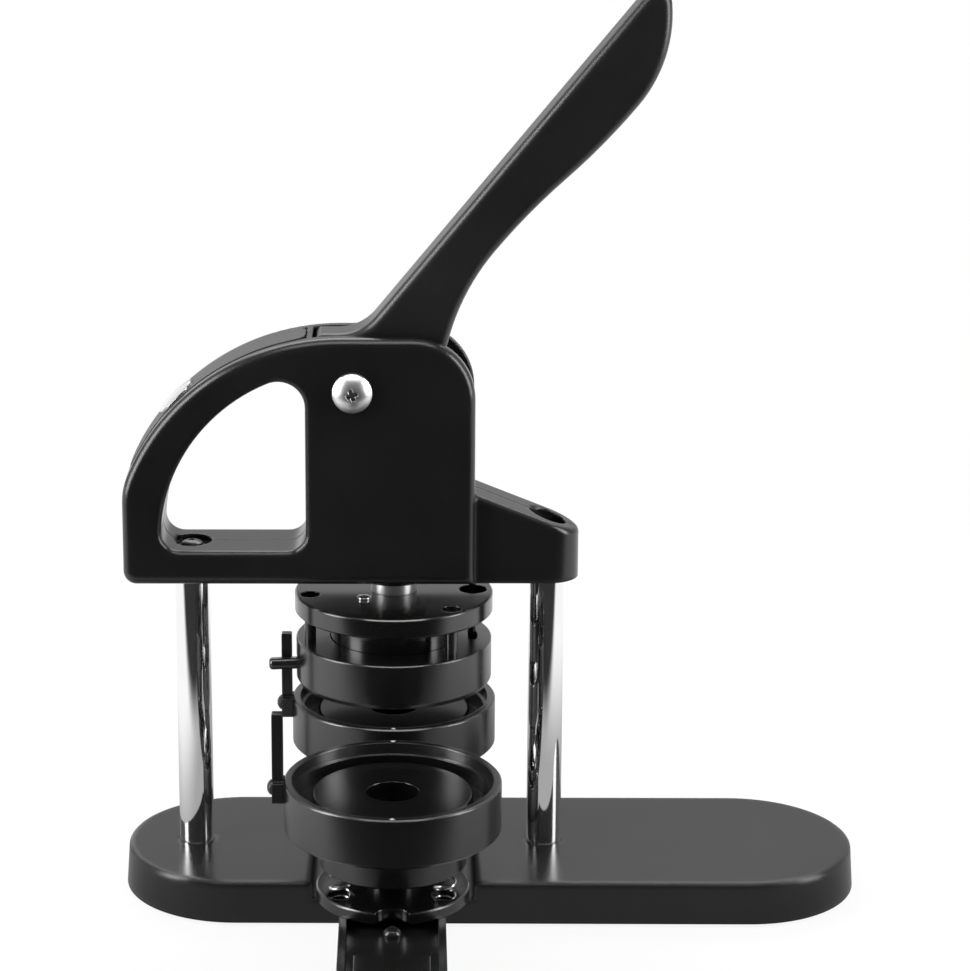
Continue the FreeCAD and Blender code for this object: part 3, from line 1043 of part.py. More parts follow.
def spring_shape():
    """A helix whose two ends bend upright and run straight for one wire diameter."""
    wire = measure("Sizes.spring_wire")
    radius = (measure("Sizes.spring_diameter") - wire) / 2
    length = measure("Sizes.cup_lift + 2 * Sizes.spring_seat - Sizes.fit")
    quarters = round(measure("Sizes.spring_turns") * 4)
    lead = math.pi / 4
    rise = 1.7 * wire
    up = FreeCAD.Vector(0, 0, 1)
    pitch = (length - 2 * wire - 2 * rise) / (quarters / 4)
    stations = [helix_point(step * math.pi / 2, radius, pitch) for step in range(quarters + 1)]
    lift = up * (wire + rise)
    stations = [(point + lift, heading) for point, heading in stations]
    foot = FreeCAD.Vector(radius * math.cos(-lead), radius * math.sin(-lead), 0)
    turn = quarters * math.pi / 2 + lead
    head = FreeCAD.Vector(radius * math.cos(turn), radius * math.sin(turn), length)
    stations = [(foot + up * wire, up)] + stations + [(head - up * wire, up)]
    edges = [Part.LineSegment(foot, foot + up * wire).toShape()]
    for (start, heading), (end, leaving) in zip(stations, stations[1:]):
        edges += biarc(start, heading, end, leaving)
    edges.append(Part.LineSegment(head - up * wire, head).toShape())
    ring = Part.Wire([Part.Circle(foot, up, wire / 2).toShape()])
    sweep = Part.BRepOffsetAPI.MakePipeShell(Part.Wire(edges))
    sweep.add(ring)
    sweep.build()
    sweep.makeSolid()
    return sweep.shape(), edges


def print_least_gap(edges):
    """Measure the least gap of the wire to itself on points along its middle line."""
    wire = measure("Sizes.spring_wire")
    points, walked = [], []
    distance = 0
    for edge in edges:
        for point in edge.discretize(9)[:-1]:
            if points:
                distance += (point - points[-1]).Length
            points.append(point)
            walked.append(distance)
    far = 3 * wire
    gaps = [(a - b).Length - wire for i, a in enumerate(points) for j, b in enumerate(points[:i])
            if walked[i] - walked[j] > far]
    tightest = min(edge.Curve.Radius for edge in edges if hasattr(edge.Curve, "Radius"))
    print(f"Spring: least gap to itself {min(gaps):.2f} mm, tightest bend {tightest:.2f} mm")


def make_springs(name, y, shape):
    for number in range(3):
        spring = doc.addObject("Part::Feature", f"{name}_spring_{number + 1}")
        spring.Label = f"{name}_spring_{number + 1}"
        spring.Shape = shape
        angle = f"Sizes.spring_angle + {120 * number}"
        spring.Placement = FreeCAD.Placement()
        x, along = at_angle("Sizes.spring_ring", angle)
        place(spring, f"Sizes.ram_x + {x}", f"{y} + {along}", f"{FLANGE_TOP} - Sizes.spring_seat")
        pieces.append(spring)


def make_locator(name, y):
    """A domed screw on the slide in front of a die."""
    shank, head = half("screw_diameter"), half("locator_diameter")
    brim, top = "(Sizes.locator_height / 3)", "Sizes.locator_height"
    rise = f"({top} - {brim})"
    dome = f"({head}^2 + {rise}^2) / (2 * {rise})"
    foot = "(0 - (Sizes.slide_height - Sizes.slide_channel) + Sizes.locator_web + Sizes.fine_bevel)"
    corners = [("0", foot), (shank, foot), (shank, "0"), (head, "0"), (head, brim), ("0", top)]
    turned(f"{name}_locating_screw", corners, {4: (dome, 1)}, "Sizes.ram_x", f"{y} - Sizes.locator_reach",
           SLIDE_FLOOR)


def make_lower_dies():
    shape, edges = spring_shape()
    print_least_gap(edges)
    for name, y in DIE_CENTRES.items():
        make_flange(f"{name}_flange", y)
        make_pedestal(f"{name}_pedestal", y)
        make_cup(f"{name}_cup", y)
        make_shift_post(name, y)
        make_springs(name, y, shape)
        make_locator(name, y)


make_base()
make_feet()
make_column("left_column", "Sizes.left_column_x", LEFT_SOCKET)
make_column("right_column", "Sizes.right_column_x", LUG_SOCKET)
make_column_screw("left_column_screw", "Sizes.left_column_x", f"({HEAD_BOTTOM} + {LEFT_SOCKET})", LEFT_SEAT)
make_column_screw("right_column_screw", "Sizes.right_column_x", f"({HEAD_BOTTOM} + {LUG_SOCKET})", LUG_SEAT)
make_head()
make_grip_strip()
make_ram_bush()
make_pivot()
make_handle()
make_ram()
make_top_plate()
make_core()
make_upper_ring()
make_guide_posts()
make_selector()
make_slide_guide()
make_die_slide()
make_lower_dies()

doc.recompute()
for item in doc.Objects:
    if "Invalid" in item.State or "Error" in item.State:
        raise ValueError(f"{item.Label} is in state {item.State}")
for piece in pieces:
    if piece.Shape.isNull() or not piece.Shape.isValid():
        raise ValueError(f"{piece.Label} has no valid shape")
    piece.Shape.exportStep(f"parts/{piece.Label}.step")
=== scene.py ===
# Button badge maker: finishes, small fittings and studio, in metres, in the part's own frame.
import json
import math

import bmesh
import bpy
from mathutils import Matrix, Vector


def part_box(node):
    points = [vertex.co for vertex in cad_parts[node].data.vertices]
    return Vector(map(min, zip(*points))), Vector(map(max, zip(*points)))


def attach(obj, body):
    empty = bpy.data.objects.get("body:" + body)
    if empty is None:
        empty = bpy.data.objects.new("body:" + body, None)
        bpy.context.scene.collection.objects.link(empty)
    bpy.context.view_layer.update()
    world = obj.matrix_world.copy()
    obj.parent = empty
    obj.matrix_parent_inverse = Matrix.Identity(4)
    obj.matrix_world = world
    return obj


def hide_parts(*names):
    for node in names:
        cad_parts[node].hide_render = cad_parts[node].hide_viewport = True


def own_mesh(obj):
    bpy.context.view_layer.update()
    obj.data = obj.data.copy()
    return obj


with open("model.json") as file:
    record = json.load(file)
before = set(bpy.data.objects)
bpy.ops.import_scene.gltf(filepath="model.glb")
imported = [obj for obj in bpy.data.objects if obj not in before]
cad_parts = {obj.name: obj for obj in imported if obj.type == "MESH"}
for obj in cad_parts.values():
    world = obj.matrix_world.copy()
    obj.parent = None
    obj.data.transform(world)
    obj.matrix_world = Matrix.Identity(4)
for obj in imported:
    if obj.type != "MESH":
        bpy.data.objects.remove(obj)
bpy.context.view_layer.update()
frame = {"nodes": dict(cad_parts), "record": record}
MM = 0.001
FULL_TURN = 2 * math.pi
UP = (0, 0, 1)
TO_FRONT = (0, -1, 0)
TO_BACK = (0, 1, 0)
TO_LEFT = (-1, 0, 0)


def middle(node):
    """The middle of a solid's box."""
    low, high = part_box(node)
    return (low + high) / 2


RAM_AXIS = Vector((middle("ram").x, 0, 0))
FRONT_DIE = Vector((RAM_AXIS.x, middle("front_pedestal").y, 0))


# Shader writing

class Signal:
    """A shader output; arithmetic on it adds Math nodes."""

    def __init__(self, network, socket):
        self.network = network
        self.socket = socket

    def work(self, operation, first, second):
        """A Math node on two values."""
        return self.network.add("ShaderNodeMath", {"operation": operation}, {0: first, 1: second})

    def __add__(self, other):
        return self.work("ADD", self, other)

    __radd__ = __add__

    def __sub__(self, other):
        return self.work("SUBTRACT", self, other)

    def __rsub__(self, other):
        return self.work("SUBTRACT", other, self)

    def __mul__(self, other):
        return self.work("MULTIPLY", self, other)

    __rmul__ = __mul__


class Network:
    """The nodes of a material or of the world."""

    def __init__(self, tree):
        self.tree = tree

    def add(self, kind, settings, inputs, output=0):
        """A node with its settings, then its inputs; gives one of its outputs."""
        node = self.tree.nodes.new(kind)
        for name, value in settings.items():
            if name == "stops":
                self.set_stops(node.color_ramp, value)
            else:
                setattr(node, name, value)
        for key, value in inputs.items():
            self.feed(node.inputs[key], value)
        return Signal(self, node.outputs[output])

    def set_stops(self, ramp, stops):
        """Give a colour ramp its places and shades."""
        while len(ramp.elements) < len(stops):
            ramp.elements.new(0.5)
        for element, (place, shade) in zip(ramp.elements, stops):
            element.position = place
            element.color = shade

    def feed(self, socket, value):
        """Link a signal to a socket, or set a constant on it."""
        if isinstance(value, Signal):
            self.tree.links.new(value.socket, socket)
        else:
            socket.default_value = value

    def fade(self, value, start, end, least=0.0):
        """A smooth rise from the least to one while a value goes from start to end."""
        return self.add("ShaderNodeMapRange", {"interpolation_type": "SMOOTHSTEP"},
                        {"Value": value, "From Min": start, "From Max": end, "To Min": least})

    def show(self, output, shader):
        """Send a shader to the named output node."""
        self.feed(self.tree.nodes[output].inputs["Surface"], shader)


class Finish(Network):
    """A material being written: its Principled shader and the nodes that feed it."""

    EDGE_ROUND = 0.6 * MM
    EDGE_SAMPLES = 6

    def __init__(self, name, **constants):
        self.material = bpy.data.materials.new(name)
        self.material.use_nodes = True
        super().__init__(self.material.node_tree)
        self.shader = self.tree.nodes["Principled BSDF"]
        for socket, value in constants.items():
            self.shader.inputs[socket.replace("_", " ")].default_value = value

    def place(self, shift=(0, 0, 0), stretch=(1, 1, 1)):
        """Object coordinates, stretched and moved."""
        here = self.add("ShaderNodeTexCoord", {}, {}, "Object")
        return self.add("ShaderNodeMapping", {}, {"Vector": here, "Location": shift, "Scale": stretch})

    def noise(self, where, scale, detail=2.0, rough=0.5):
        """Cloudy noise between nothing and one."""
        return self.add("ShaderNodeTexNoise", {},
                        {"Vector": where, "Scale": scale, "Detail": detail, "Roughness": rough})

    def shades(self, factor, *stops):
        """A colour ramp of plain greys or colours."""
        full = [(place, (*shade, 1) if isinstance(shade, tuple) else (shade, shade, shade, 1))
                for place, shade in stops]
        return self.add("ShaderNodeValToRGB", {"stops": full}, {"Fac": factor})

    def relief(self, height, depth, strength=1.0, edge=EDGE_ROUND):
        """Fine relief on a surface whose edges are broken by a round; gives the rounded normal."""
        broken = self.add("ShaderNodeBevel", {"samples": self.EDGE_SAMPLES}, {"Radius": edge})
        bump = self.add("ShaderNodeBump", {},
                        {"Height": height, "Distance": depth, "Strength": strength, "Normal": broken})
        self.feed(self.shader.inputs["Normal"], bump)
        return broken

    def edge_highlight_and_wear_mask(self, broken):
        """How far a spot lies into the round of an edge, nothing on open faces; it places the painted edge
        highlight.
        """
        plain = self.add("ShaderNodeNewGeometry", {}, {}, "Normal")
        lean = self.add("ShaderNodeVectorMath", {"operation": "DOT_PRODUCT"},
                        {0: broken, 1: plain}, "Value")
        return 1 - lean

    def wear(self, colour, roughness, metallic=0.0):
        """Feed the inputs that change over the surface."""
        for socket, value in (("Base Color", colour), ("Roughness", roughness), ("Metallic", metallic)):
            self.feed(self.shader.inputs[socket], value)
        return self.material


# Finishes

UPRIGHT_LINES = (1, 1, 0.04)
CROSSWISE_LINES = (0.04, 1, 1)
NO_LINES = (1, 1, 1)


def satin_paint():
    """Base: sprayed satin black with a faint orange peel and a few wiped patches."""
    paint = Finish("satin_paint", IOR=1.5)
    where = paint.place()
    peel = paint.noise(where, 420)
    grain = paint.noise(where, 2600)
    wipe = paint.noise(where, 14, detail=3, rough=0.6)
    paint.relief(peel * 0.8 + grain * 0.25, depth=0.04 * MM, edge=4 * MM)
    colour = paint.shades(wipe, (0.3, 0.007), (0.7, 0.011))
    return paint.wear(colour, 0.15 + 0.1 * wipe + 0.04 * grain)


def moulded_black(name, shade, roughness, texture, edge=Finish.EDGE_ROUND, edge_highlight_and_wear_shade=0.02):
    """Moulded plastic: spark-eroded grain, slow changes of gloss, and edges painted paler as a painted edge
    highlight that also stands for wear.
    """
    plastic = Finish(name, IOR=1.55)
    where = plastic.place()
    grain = plastic.noise(where, texture, detail=3, rough=0.6)
    flow = plastic.noise(where, 22)
    broken = plastic.relief(grain, depth=0.03 * MM, strength=0.3, edge=edge)
    edge_highlight_and_wear = plastic.edge_highlight_and_wear_mask(broken)
    # Paler edges: painted highlight along the rounds, partly also wear.
    colour = plastic.shades(flow + 2 * edge_highlight_and_wear, (0.25, shade * 0.8), (0.75, shade * 1.25), (1, edge_highlight_and_wear_shade))
    return plastic.wear(colour, roughness - 0.05 + 0.1 * flow + 0.06 * grain)


def turned_black(name, axis, shade, roughness, pitch=0.45 * MM, shine=0.5):
    """Black turned metal: fine rings about the axis and slight handling marks."""
    metal = Finish(name, IOR=1.85, Specular_IOR_Level=shine)
    from_axis = metal.place(shift=(-axis.x, -axis.y, 0), stretch=(1, 1, 0))
    radius = metal.add("ShaderNodeVectorMath", {"operation": "LENGTH"}, {0: from_axis}, "Value")
    ring = metal.add("ShaderNodeMath", {"operation": "SINE"}, {0: radius * (FULL_TURN / pitch)})
    where = metal.place()
    marks = metal.noise(where, 35, detail=3, rough=0.6)
    grain = metal.noise(where, 1800)
    metal.relief(ring * 0.15 + grain * 0.5, depth=0.01 * MM, strength=0.5)
    colour = metal.shades(marks, (0.3, shade * 0.8), (0.7, shade * 1.2))
    return metal.wear(colour, roughness - 0.04 + 0.015 * ring + 0.08 * marks)


def polished_chrome(name, shade, roughness, lines=UPRIGHT_LINES):
    """Bright plating with hair lines along one direction and faint clouding."""
    plate = Finish(name)
    hairs = plate.noise(plate.place(stretch=lines), 1400)
    cloud = plate.noise(plate.place(), 30, detail=3)
    plate.relief(hairs, depth=0.004 * MM, strength=0.5)
    colour = plate.shades(cloud, (0.2, shade * 0.94), (0.8, shade))
    return plate.wear(colour, roughness + 0.05 * hairs + 0.04 * cloud - 0.04, 1.0 - 0.02 * cloud)


def plain_rubber(name, shade, scale):
    """Matt rubber with fine pores and a faint bloom."""
    rubber = Finish(name, IOR=1.5)
    where = rubber.place()
    pores = rubber.noise(where, scale, detail=4, rough=0.7)
    bloom = rubber.noise(where, 60)
    rubber.relief(pores, depth=0.1 * MM, strength=0.6)
    colour = rubber.shades(bloom, (0.3, shade * 0.8), (0.7, shade * 1.3))
    return rubber.wear(colour, 0.62 + 0.15 * pores)


def worn_bronze():
    """Bushes: dark oiled bronze, speckled and stained."""
    bronze = Finish("bush_bronze")
    where = bronze.place()
    speckle = bronze.noise(where, 900, detail=4, rough=0.7)
    stain = bronze.noise(where, 120)
    bronze.relief(speckle, depth=0.02 * MM, strength=0.5)
    colour = bronze.shades(stain, (0.3, (0.03, 0.026, 0.02)), (0.7, (0.08, 0.068, 0.05)))
    return bronze.wear(colour, 0.28 + 0.2 * speckle, 1.0 - 0.1 * stain)


def mark_white():
    """Filled index marks on the die rims."""
    enamel = Finish("index_white", IOR=1.5)
    chip = enamel.noise(enamel.place(), 1500, detail=3)
    enamel.relief(chip, depth=0.03 * MM, strength=0.5)
    colour = enamel.shades(chip, (0.35, 0.45), (0.5, 0.72))
    return enamel.wear(colour, 0.4 + 0.2 * chip)


def recess_painted_shade():
    """Painted shade: black inside screw recesses, mottled at random."""
    dark = Finish("recess_painted_shade", IOR=1.5)
    mottling = dark.noise(dark.place(), 1800, detail=3)
    dark.relief(mottling, depth=0.02 * MM, strength=0.6)
    colour = dark.shades(mottling, (0.3, 0.01), (0.7, 0.05))
    return dark.wear(colour, 0.35 + 0.3 * mottling)


finishes = {
    "base_paint": satin_paint(),
    "rubber": plain_rubber("foot_rubber", shade=0.012, scale=900),
    "column_chrome": polished_chrome("column_chrome", shade=0.96, roughness=0.05),
    "screw_steel": polished_chrome("screw_zinc", shade=0.7, roughness=0.16),
    "head_plastic": moulded_black("head_plastic", shade=0.008, roughness=0.19, texture=1700,
                                  edge=2.2 * MM, edge_highlight_and_wear_shade=0.012),
    "strip_rubber": moulded_black("strip_plastic", shade=0.03, roughness=0.5, texture=1400),
    "stud_chrome": polished_chrome("stud_chrome", shade=0.5, roughness=0.2),
    "bush_bronze": worn_bronze(),
    "pivot_chrome": polished_chrome("pivot_chrome", shade=0.95, roughness=0.32),
    "handle_paint": moulded_black("handle_black", shade=0.012, roughness=0.28, texture=1500,
                                  edge=2 * MM, edge_highlight_and_wear_shade=0.012),
    "ram_chrome": polished_chrome("ram_chrome", shade=0.95, roughness=0.36),
    "pin_steel": turned_black("pin_black", RAM_AXIS, shade=0.012, roughness=0.2, pitch=0.3 * MM),
    "plate_black": turned_black("plate_black", RAM_AXIS, shade=0.004, roughness=0.17),
    "pad_rubber": plain_rubber("pad_rubber", shade=0.015, scale=1200),
    "ring_black": turned_black("ring_black", RAM_AXIS, shade=0.004, roughness=0.24),
    "selector_steel": polished_chrome("selector_steel", shade=0.4, roughness=0.3, lines=CROSSWISE_LINES),
    "guide_black": moulded_black("guide_black", shade=0.012, roughness=0.34, texture=1500),
    "slide_black": moulded_black("slide_black", shade=0.01, roughness=0.2, texture=1900, edge_highlight_and_wear_shade=0.1),
    "cup_black": turned_black("front_cup_black", FRONT_DIE, shade=0.004, roughness=0.24),
    "pedestal_black": turned_black("front_pedestal_black", FRONT_DIE, shade=0.003, roughness=0.18),
    "post_steel": moulded_black("post_black", shade=0.012, roughness=0.2, texture=1600, edge_highlight_and_wear_shade=0.08),
    "spring_steel": polished_chrome("spring_nickel", shade=0.9, roughness=0.12, lines=NO_LINES),
}
own_finishes = {
    "rear_cup": turned_black("rear_cup_black", RAM_AXIS, shade=0.004, roughness=0.24),
    # Painted shade: the rear pedestal, under the ram, is a darker and less shiny copy of the pedestal
    # finish.
    "rear_pedestal": turned_black("rear_pedestal_shaded_black", RAM_AXIS, shade=0.002, roughness=0.18, shine=0.1),
    "front_flange": turned_black("front_flange_black", FRONT_DIE, shade=0.004, roughness=0.2),
    "rear_flange": turned_black("rear_flange_black", RAM_AXIS, shade=0.004, roughness=0.2),
}
index_white = mark_white()
recess_shade = recess_painted_shade()
# Painted shade: a darker copy of the pivot's chrome for the inside of its recess.
pivot_recess_shade = polished_chrome("pivot_recess_shade", shade=0.6, roughness=0.3)


def finish_solids():
    """Give every solid the finish of its kind, or its own where rings turn about another axis; the rear
    pedestal's own is also darker, as painted shade.
    """
    for entry in frame["record"]["subparts"]:
        node = entry["node"]
        finish = own_finishes.get(node, finishes[entry["material_slot"]])
        for slot in frame["nodes"][node].material_slots:
            slot.material = finish


# Making pieces

def as_object(name, bm):
    """Turn a bmesh into an object of the scene."""
    mesh = bpy.data.meshes.new(name)
    bm.to_mesh(mesh)
    bm.free()
    made = bpy.data.objects.new(name, mesh)
    bpy.context.scene.collection.objects.link(made)
    return made


def new_piece(name, bm, materials, body, smooth_angle=35):
    """Turn a finished bmesh into a piece that rides on a body."""
    piece = as_object(name, bm)
    piece.data.shade_smooth()
    piece.data.set_sharp_from_angle(angle=math.radians(smooth_angle))
    for material in materials:
        piece.data.materials.append(material)
    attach(piece, body)
    return piece


def aim(centre, direction):
    """A frame whose Z axis points along the direction."""
    return Matrix.Translation(centre) @ Vector(direction).to_track_quat("Z", "Y").to_matrix().to_4x4()


def close_seams(bm):
    """Merge the points that meet and turn all faces outwards."""
    bmesh.ops.remove_doubles(bm, verts=bm.verts, dist=1e-7)
    bmesh.ops.recalc_face_normals(bm, faces=bm.faces)


# Screws

RECESS_ARM = 0.44
RECESS_WIDTH = 0.26
RECESS_DEPTH = 0.36
RECESS_TAPER = (0.45, 0.7, 1)
SHORT_STEM = 0.5
SHORT_LENGTH = 0.4
HEAD_STEPS = 48


def spun(profile):
    """A closed form turned about Z from a half section that starts and ends on the axis."""
    bm = bmesh.new()
    points = [bm.verts.new((radius, 0, height)) for radius, height in profile]
    edges = [bm.edges.new(pair) for pair in zip(points, points[1:])]
    bmesh.ops.spin(bm, geom=points + edges, cent=(0, 0, 0), axis=UP, angle=FULL_TURN, steps=HEAD_STEPS,
                   use_merge=True)
    close_seams(bm)
    return bm


def dome_profile(radius, brim, rise, steps=10):
    """Points over a domed head, from its brim to its crown."""
    ball = (radius ** 2 + rise ** 2) / (2 * rise)
    reach = math.asin(radius / ball)
    centre = brim + rise - ball
    turns = [reach * (steps - step) / steps for step in range(steps + 1)]
    return [(ball * math.sin(turn), centre + ball * math.cos(turn)) for turn in turns]


def cross_cutter(radius, top):
    """Two crossed blades that narrow downwards, in proportion to a head's radius."""
    bm = bmesh.new()
    size = (2 * RECESS_ARM * radius, RECESS_WIDTH * radius, 2 * RECESS_DEPTH * radius)
    for turn in (0, FULL_TURN / 4):
        verts = bmesh.ops.create_cube(bm, size=1)["verts"]
        bmesh.ops.scale(bm, verts=verts, vec=size)
        bmesh.ops.translate(bm, verts=verts, vec=(0, 0, top))
        low = [vert for vert in verts if vert.co.z < top]
        bmesh.ops.scale(bm, verts=low, vec=RECESS_TAPER)
        bmesh.ops.rotate(bm, verts=verts, cent=(0, 0, 0), matrix=Matrix.Rotation(turn, 3, "Z"))
    return bm


def cut_recess(bm, cutter):
    """Cut a recess into a head; the recess takes the second of the head's materials."""
    head = as_object("head_blank", bm)
    blade = as_object("recess_blade", cutter)
    for used in (head, blade):
        used.data.materials.append(None)
        used.data.materials.append(None)
    for face in blade.data.polygons:
        face.material_index = 1
    step = head.modifiers.new("recess", "BOOLEAN")
    step.operation = "DIFFERENCE"
    step.solver = "EXACT"
    step.use_self = True
    step.object = blade
    bpy.context.view_layer.update()
    result = bmesh.new()
    result.from_object(head, bpy.context.evaluated_depsgraph_get())
    for used in (head, blade):
        mesh = used.data
        bpy.data.objects.remove(used)
        bpy.data.meshes.remove(mesh)
    return result


def screw(name, centre, direction, radius, brim, rise, body, slot, shank=None, turn=0.0, node=None):
    """A domed screw with a cross recess; centre is where its head sits, and node the solid it replaces."""
    stem, length = shank or (SHORT_STEM * radius, SHORT_LENGTH * radius)
    crown = brim + rise
    profile = [(0, -length), (stem, -length), (stem, 0), (radius, 0)]
    profile += dome_profile(radius, brim, rise)
    profile[-1] = (0, crown)
    bm = cut_recess(spun(profile), cross_cutter(radius, crown))
    bm.transform(aim(centre, direction) @ Matrix.Rotation(turn, 4, "Z"))
    # The recess gets a darker finish than the head: painted shade.
    inside = pivot_recess_shade if slot == "pivot_chrome" else recess_shade
    piece = new_piece(name, bm, [finishes[slot], inside], body)
    if node:
        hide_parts(node)


def upright_screw(name, node, body, slot, brim, rise, stem, turn, seat=None):
    """A cross-recessed screw in place of a plain upright one; its seat may be given."""
    low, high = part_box(node)
    spot = middle(node)
    if seat is None:
        seat = high.z - brim - rise
    screw(name, Vector((spot.x, spot.y, seat)), UP, (high.x - low.x) / 2, brim, rise, body, slot,
          (stem, seat - low.z), turn, node)


def fit_pivot_screw():
    """The pivot bolt's broad head on the front of the head."""
    low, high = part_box("pivot_bolt")
    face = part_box("head_front_shell")[0].y
    pivot = middle("pivot_bolt")
    height = face - low.y
    screw("pivot_screw", Vector((pivot.x, face, pivot.z)), TO_FRONT, (high.x - low.x) / 2,
          brim=height / 3, rise=height * 2 / 3, body="base_frame", slot="pivot_chrome",
          shank=(5 * MM, high.y - face), turn=0.35, node="pivot_bolt")


def fit_post_screw(end):
    """The small screw that holds a shift post to its cup from the left."""
    node = f"{end}_post_screw"
    low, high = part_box(node)
    spot = middle(node)
    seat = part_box(f"{end}_shift_post")[0].x
    brim = 0.6 * MM
    screw(f"{end}_post_cross_screw", Vector((seat, spot.y, spot.z)), TO_LEFT, (high.z - low.z) / 2,
          brim, rise=seat - low.x - brim, body=f"{end}_cup_set", slot="post_steel",
          shank=(1.5 * MM, high.x - seat), turn=0.3, node=node)


def fit_screws():
    """Cross-recessed screws in place of the plain ones."""
    fit_pivot_screw()
    for side in ("left", "right"):
        upright_screw(f"{side}_column_cross_screw", f"{side}_column_screw", "base_frame", "post_steel",
                      brim=1.3 * MM, rise=1.3 * MM, stem=3 * MM, turn=0.5)
    for number in (1, 2):
        upright_screw(f"plate_cross_screw_{number}", f"plate_screw_{number}", "ram_set", "screw_steel",
                      brim=0.9 * MM, rise=0.4 * MM, stem=2 * MM, turn=0.2, seat=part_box("top_plate")[1].z)
    for end in ("front", "rear"):
        fit_post_screw(end)
        upright_screw(f"{end}_locating_cross_screw", f"{end}_locating_screw", "slide_set", "post_steel",
                      brim=1.2 * MM, rise=2.4 * MM, stem=3 * MM, turn=0.4)


def fit_shell_screws():
    """Six screws in the rear shell: three along the loop's arch and three about the lever's housing."""
    low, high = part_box("head_rear_shell")
    inset = 9 * MM
    arch_middle = 42 * MM
    arch_crown_x = 47 * MM
    arch_crown_drop = 23 * MM
    beside_ram = 24 * MM
    shoulder_drop = 34 * MM
    spots = [(low.x + inset, low.z + inset),
             (low.x + inset, low.z + arch_middle),
             (low.x + arch_crown_x, high.z - arch_crown_drop),
             (RAM_AXIS.x + beside_ram, high.z - shoulder_drop),
             (RAM_AXIS.x + beside_ram, low.z + inset),
             (RAM_AXIS.x - beside_ram, low.z + inset)]
    for number, (x, z) in enumerate(spots, start=1):
        screw(f"shell_screw_{number}", Vector((x, high.y, z)), TO_BACK, radius=3.4 * MM, brim=0.5 * MM,
              rise=1.3 * MM, body="base_frame", slot="screw_steel", turn=0.3 * number)


def fit_keeper_screws():
    """Three screws in each of the keeper strips that hold the slide."""
    end_inset = 8 * MM
    beside_ram = 24.6 * MM
    for side, outward in (("left", -1), ("right", 1)):
        low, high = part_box(f"{side}_keeper")
        x = RAM_AXIS.x + outward * beside_ram
        for number, y in enumerate((low.y + end_inset, 0, high.y - end_inset), start=1):
            screw(f"{side}_keeper_screw_{number}", Vector((x, y, high.z)), UP, radius=2.6 * MM,
                  brim=0.4 * MM, rise=1.0 * MM, body="base_frame", slot="screw_steel", turn=0.7 * number)


# Dies

MARK_OUTER = 41.6 * MM
MARK_INNER = 40.0 * MM
MARK_WIDTH = 2.3 * MM
MARK_PROUD = 0.12 * MM
WIRE_RADIUS = 0.55 * MM
CLOSED_TURNS = 0.7
CLOSED_PITCH = 2.08 * WIRE_RADIUS
ACTIVE_TURNS = 2.25
STEPS_PER_TURN = 40


def index_mark(name, end, die, side):
    """A white arrow head filled into the top of a die's rim, pointing at the die's middle."""
    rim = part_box(f"{end}_cup")[1].z
    bm = bmesh.new()
    corners = [bm.verts.new((-MARK_WIDTH / 2, side * MARK_OUTER, 0)),
               bm.verts.new((MARK_WIDTH / 2, side * MARK_OUTER, 0)),
               bm.verts.new((0, side * MARK_INNER, 0))]
    lift = bmesh.ops.extrude_face_region(bm, geom=[bm.faces.new(corners)])
    top = [item for item in lift["geom"] if isinstance(item, bmesh.types.BMVert)]
    bmesh.ops.translate(bm, verts=top, vec=(0, 0, MARK_PROUD))
    bmesh.ops.translate(bm, verts=bm.verts, vec=(die.x, die.y, rim))
    bmesh.ops.recalc_face_normals(bm, faces=bm.faces)
    new_piece(name, bm, [index_white], f"{end}_cup_set")


def coil_spring(end, number):
    """A plated coil spring with closed end turns, standing between a flange and its cup."""
    node = f"{end}_spring_{number}"
    low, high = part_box(node)
    spot = middle(node)
    radius = (high.x - low.x) / 2 - WIRE_RADIUS
    closed_height = CLOSED_TURNS * CLOSED_PITCH
    open_height = high.z - low.z - 2 * WIRE_RADIUS - 2 * closed_height
    closed_end = (CLOSED_TURNS, closed_height)
    bm = bmesh.new()
    ring = bmesh.ops.create_circle(bm, segments=14, radius=WIRE_RADIUS, cap_ends=True)["verts"]
    bmesh.ops.rotate(bm, verts=ring, cent=(0, 0, 0), matrix=Matrix.Rotation(FULL_TURN / 4, 3, "X"))
    bmesh.ops.translate(bm, verts=ring, vec=(radius, 0, WIRE_RADIUS))
    lead = list(bm.faces) + list(bm.edges) + list(bm.verts)
    for turns, climb in (closed_end, (ACTIVE_TURNS, open_height), closed_end):
        steps = round(STEPS_PER_TURN * turns)
        swept = bmesh.ops.spin(bm, geom=lead, cent=(0, 0, 0), axis=UP, dvec=(0, 0, climb / steps),
                               angle=turns * FULL_TURN, steps=steps)
        lead = swept["geom_last"]
    close_seams(bm)
    bmesh.ops.translate(bm, verts=bm.verts, vec=(spot.x, spot.y, low.z))
    piece = new_piece(f"{end}_coil_{number}", bm, [finishes["spring_steel"]], "slide_set",
                      smooth_angle=60)
    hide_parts(node)
    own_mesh(piece)


def fit_dies():
    """The index marks and springs of both lower dies."""
    for end, die in (("front", FRONT_DIE), ("rear", RAM_AXIS)):
        index_mark(f"{end}_near_mark", end, die, -1)
        index_mark(f"{end}_far_mark", end, die, 1)
        for number in (1, 2, 3):
            coil_spring(end, number)


# Studio

WHITE = (1, 1, 1, 1)
PALE = (0.8, 0.8, 0.8, 1)
FLOOR_WHITE = 0.9
TABLE_EDGE = -0.22
EDGE_SOFTNESS = 0.05
BEYOND_TABLE = 0.03
SHADED_FLOOR = 0.4
FRONT_WALL = 0.05
BACK_WALL = 0.62
WALLS_MEET = 0.9


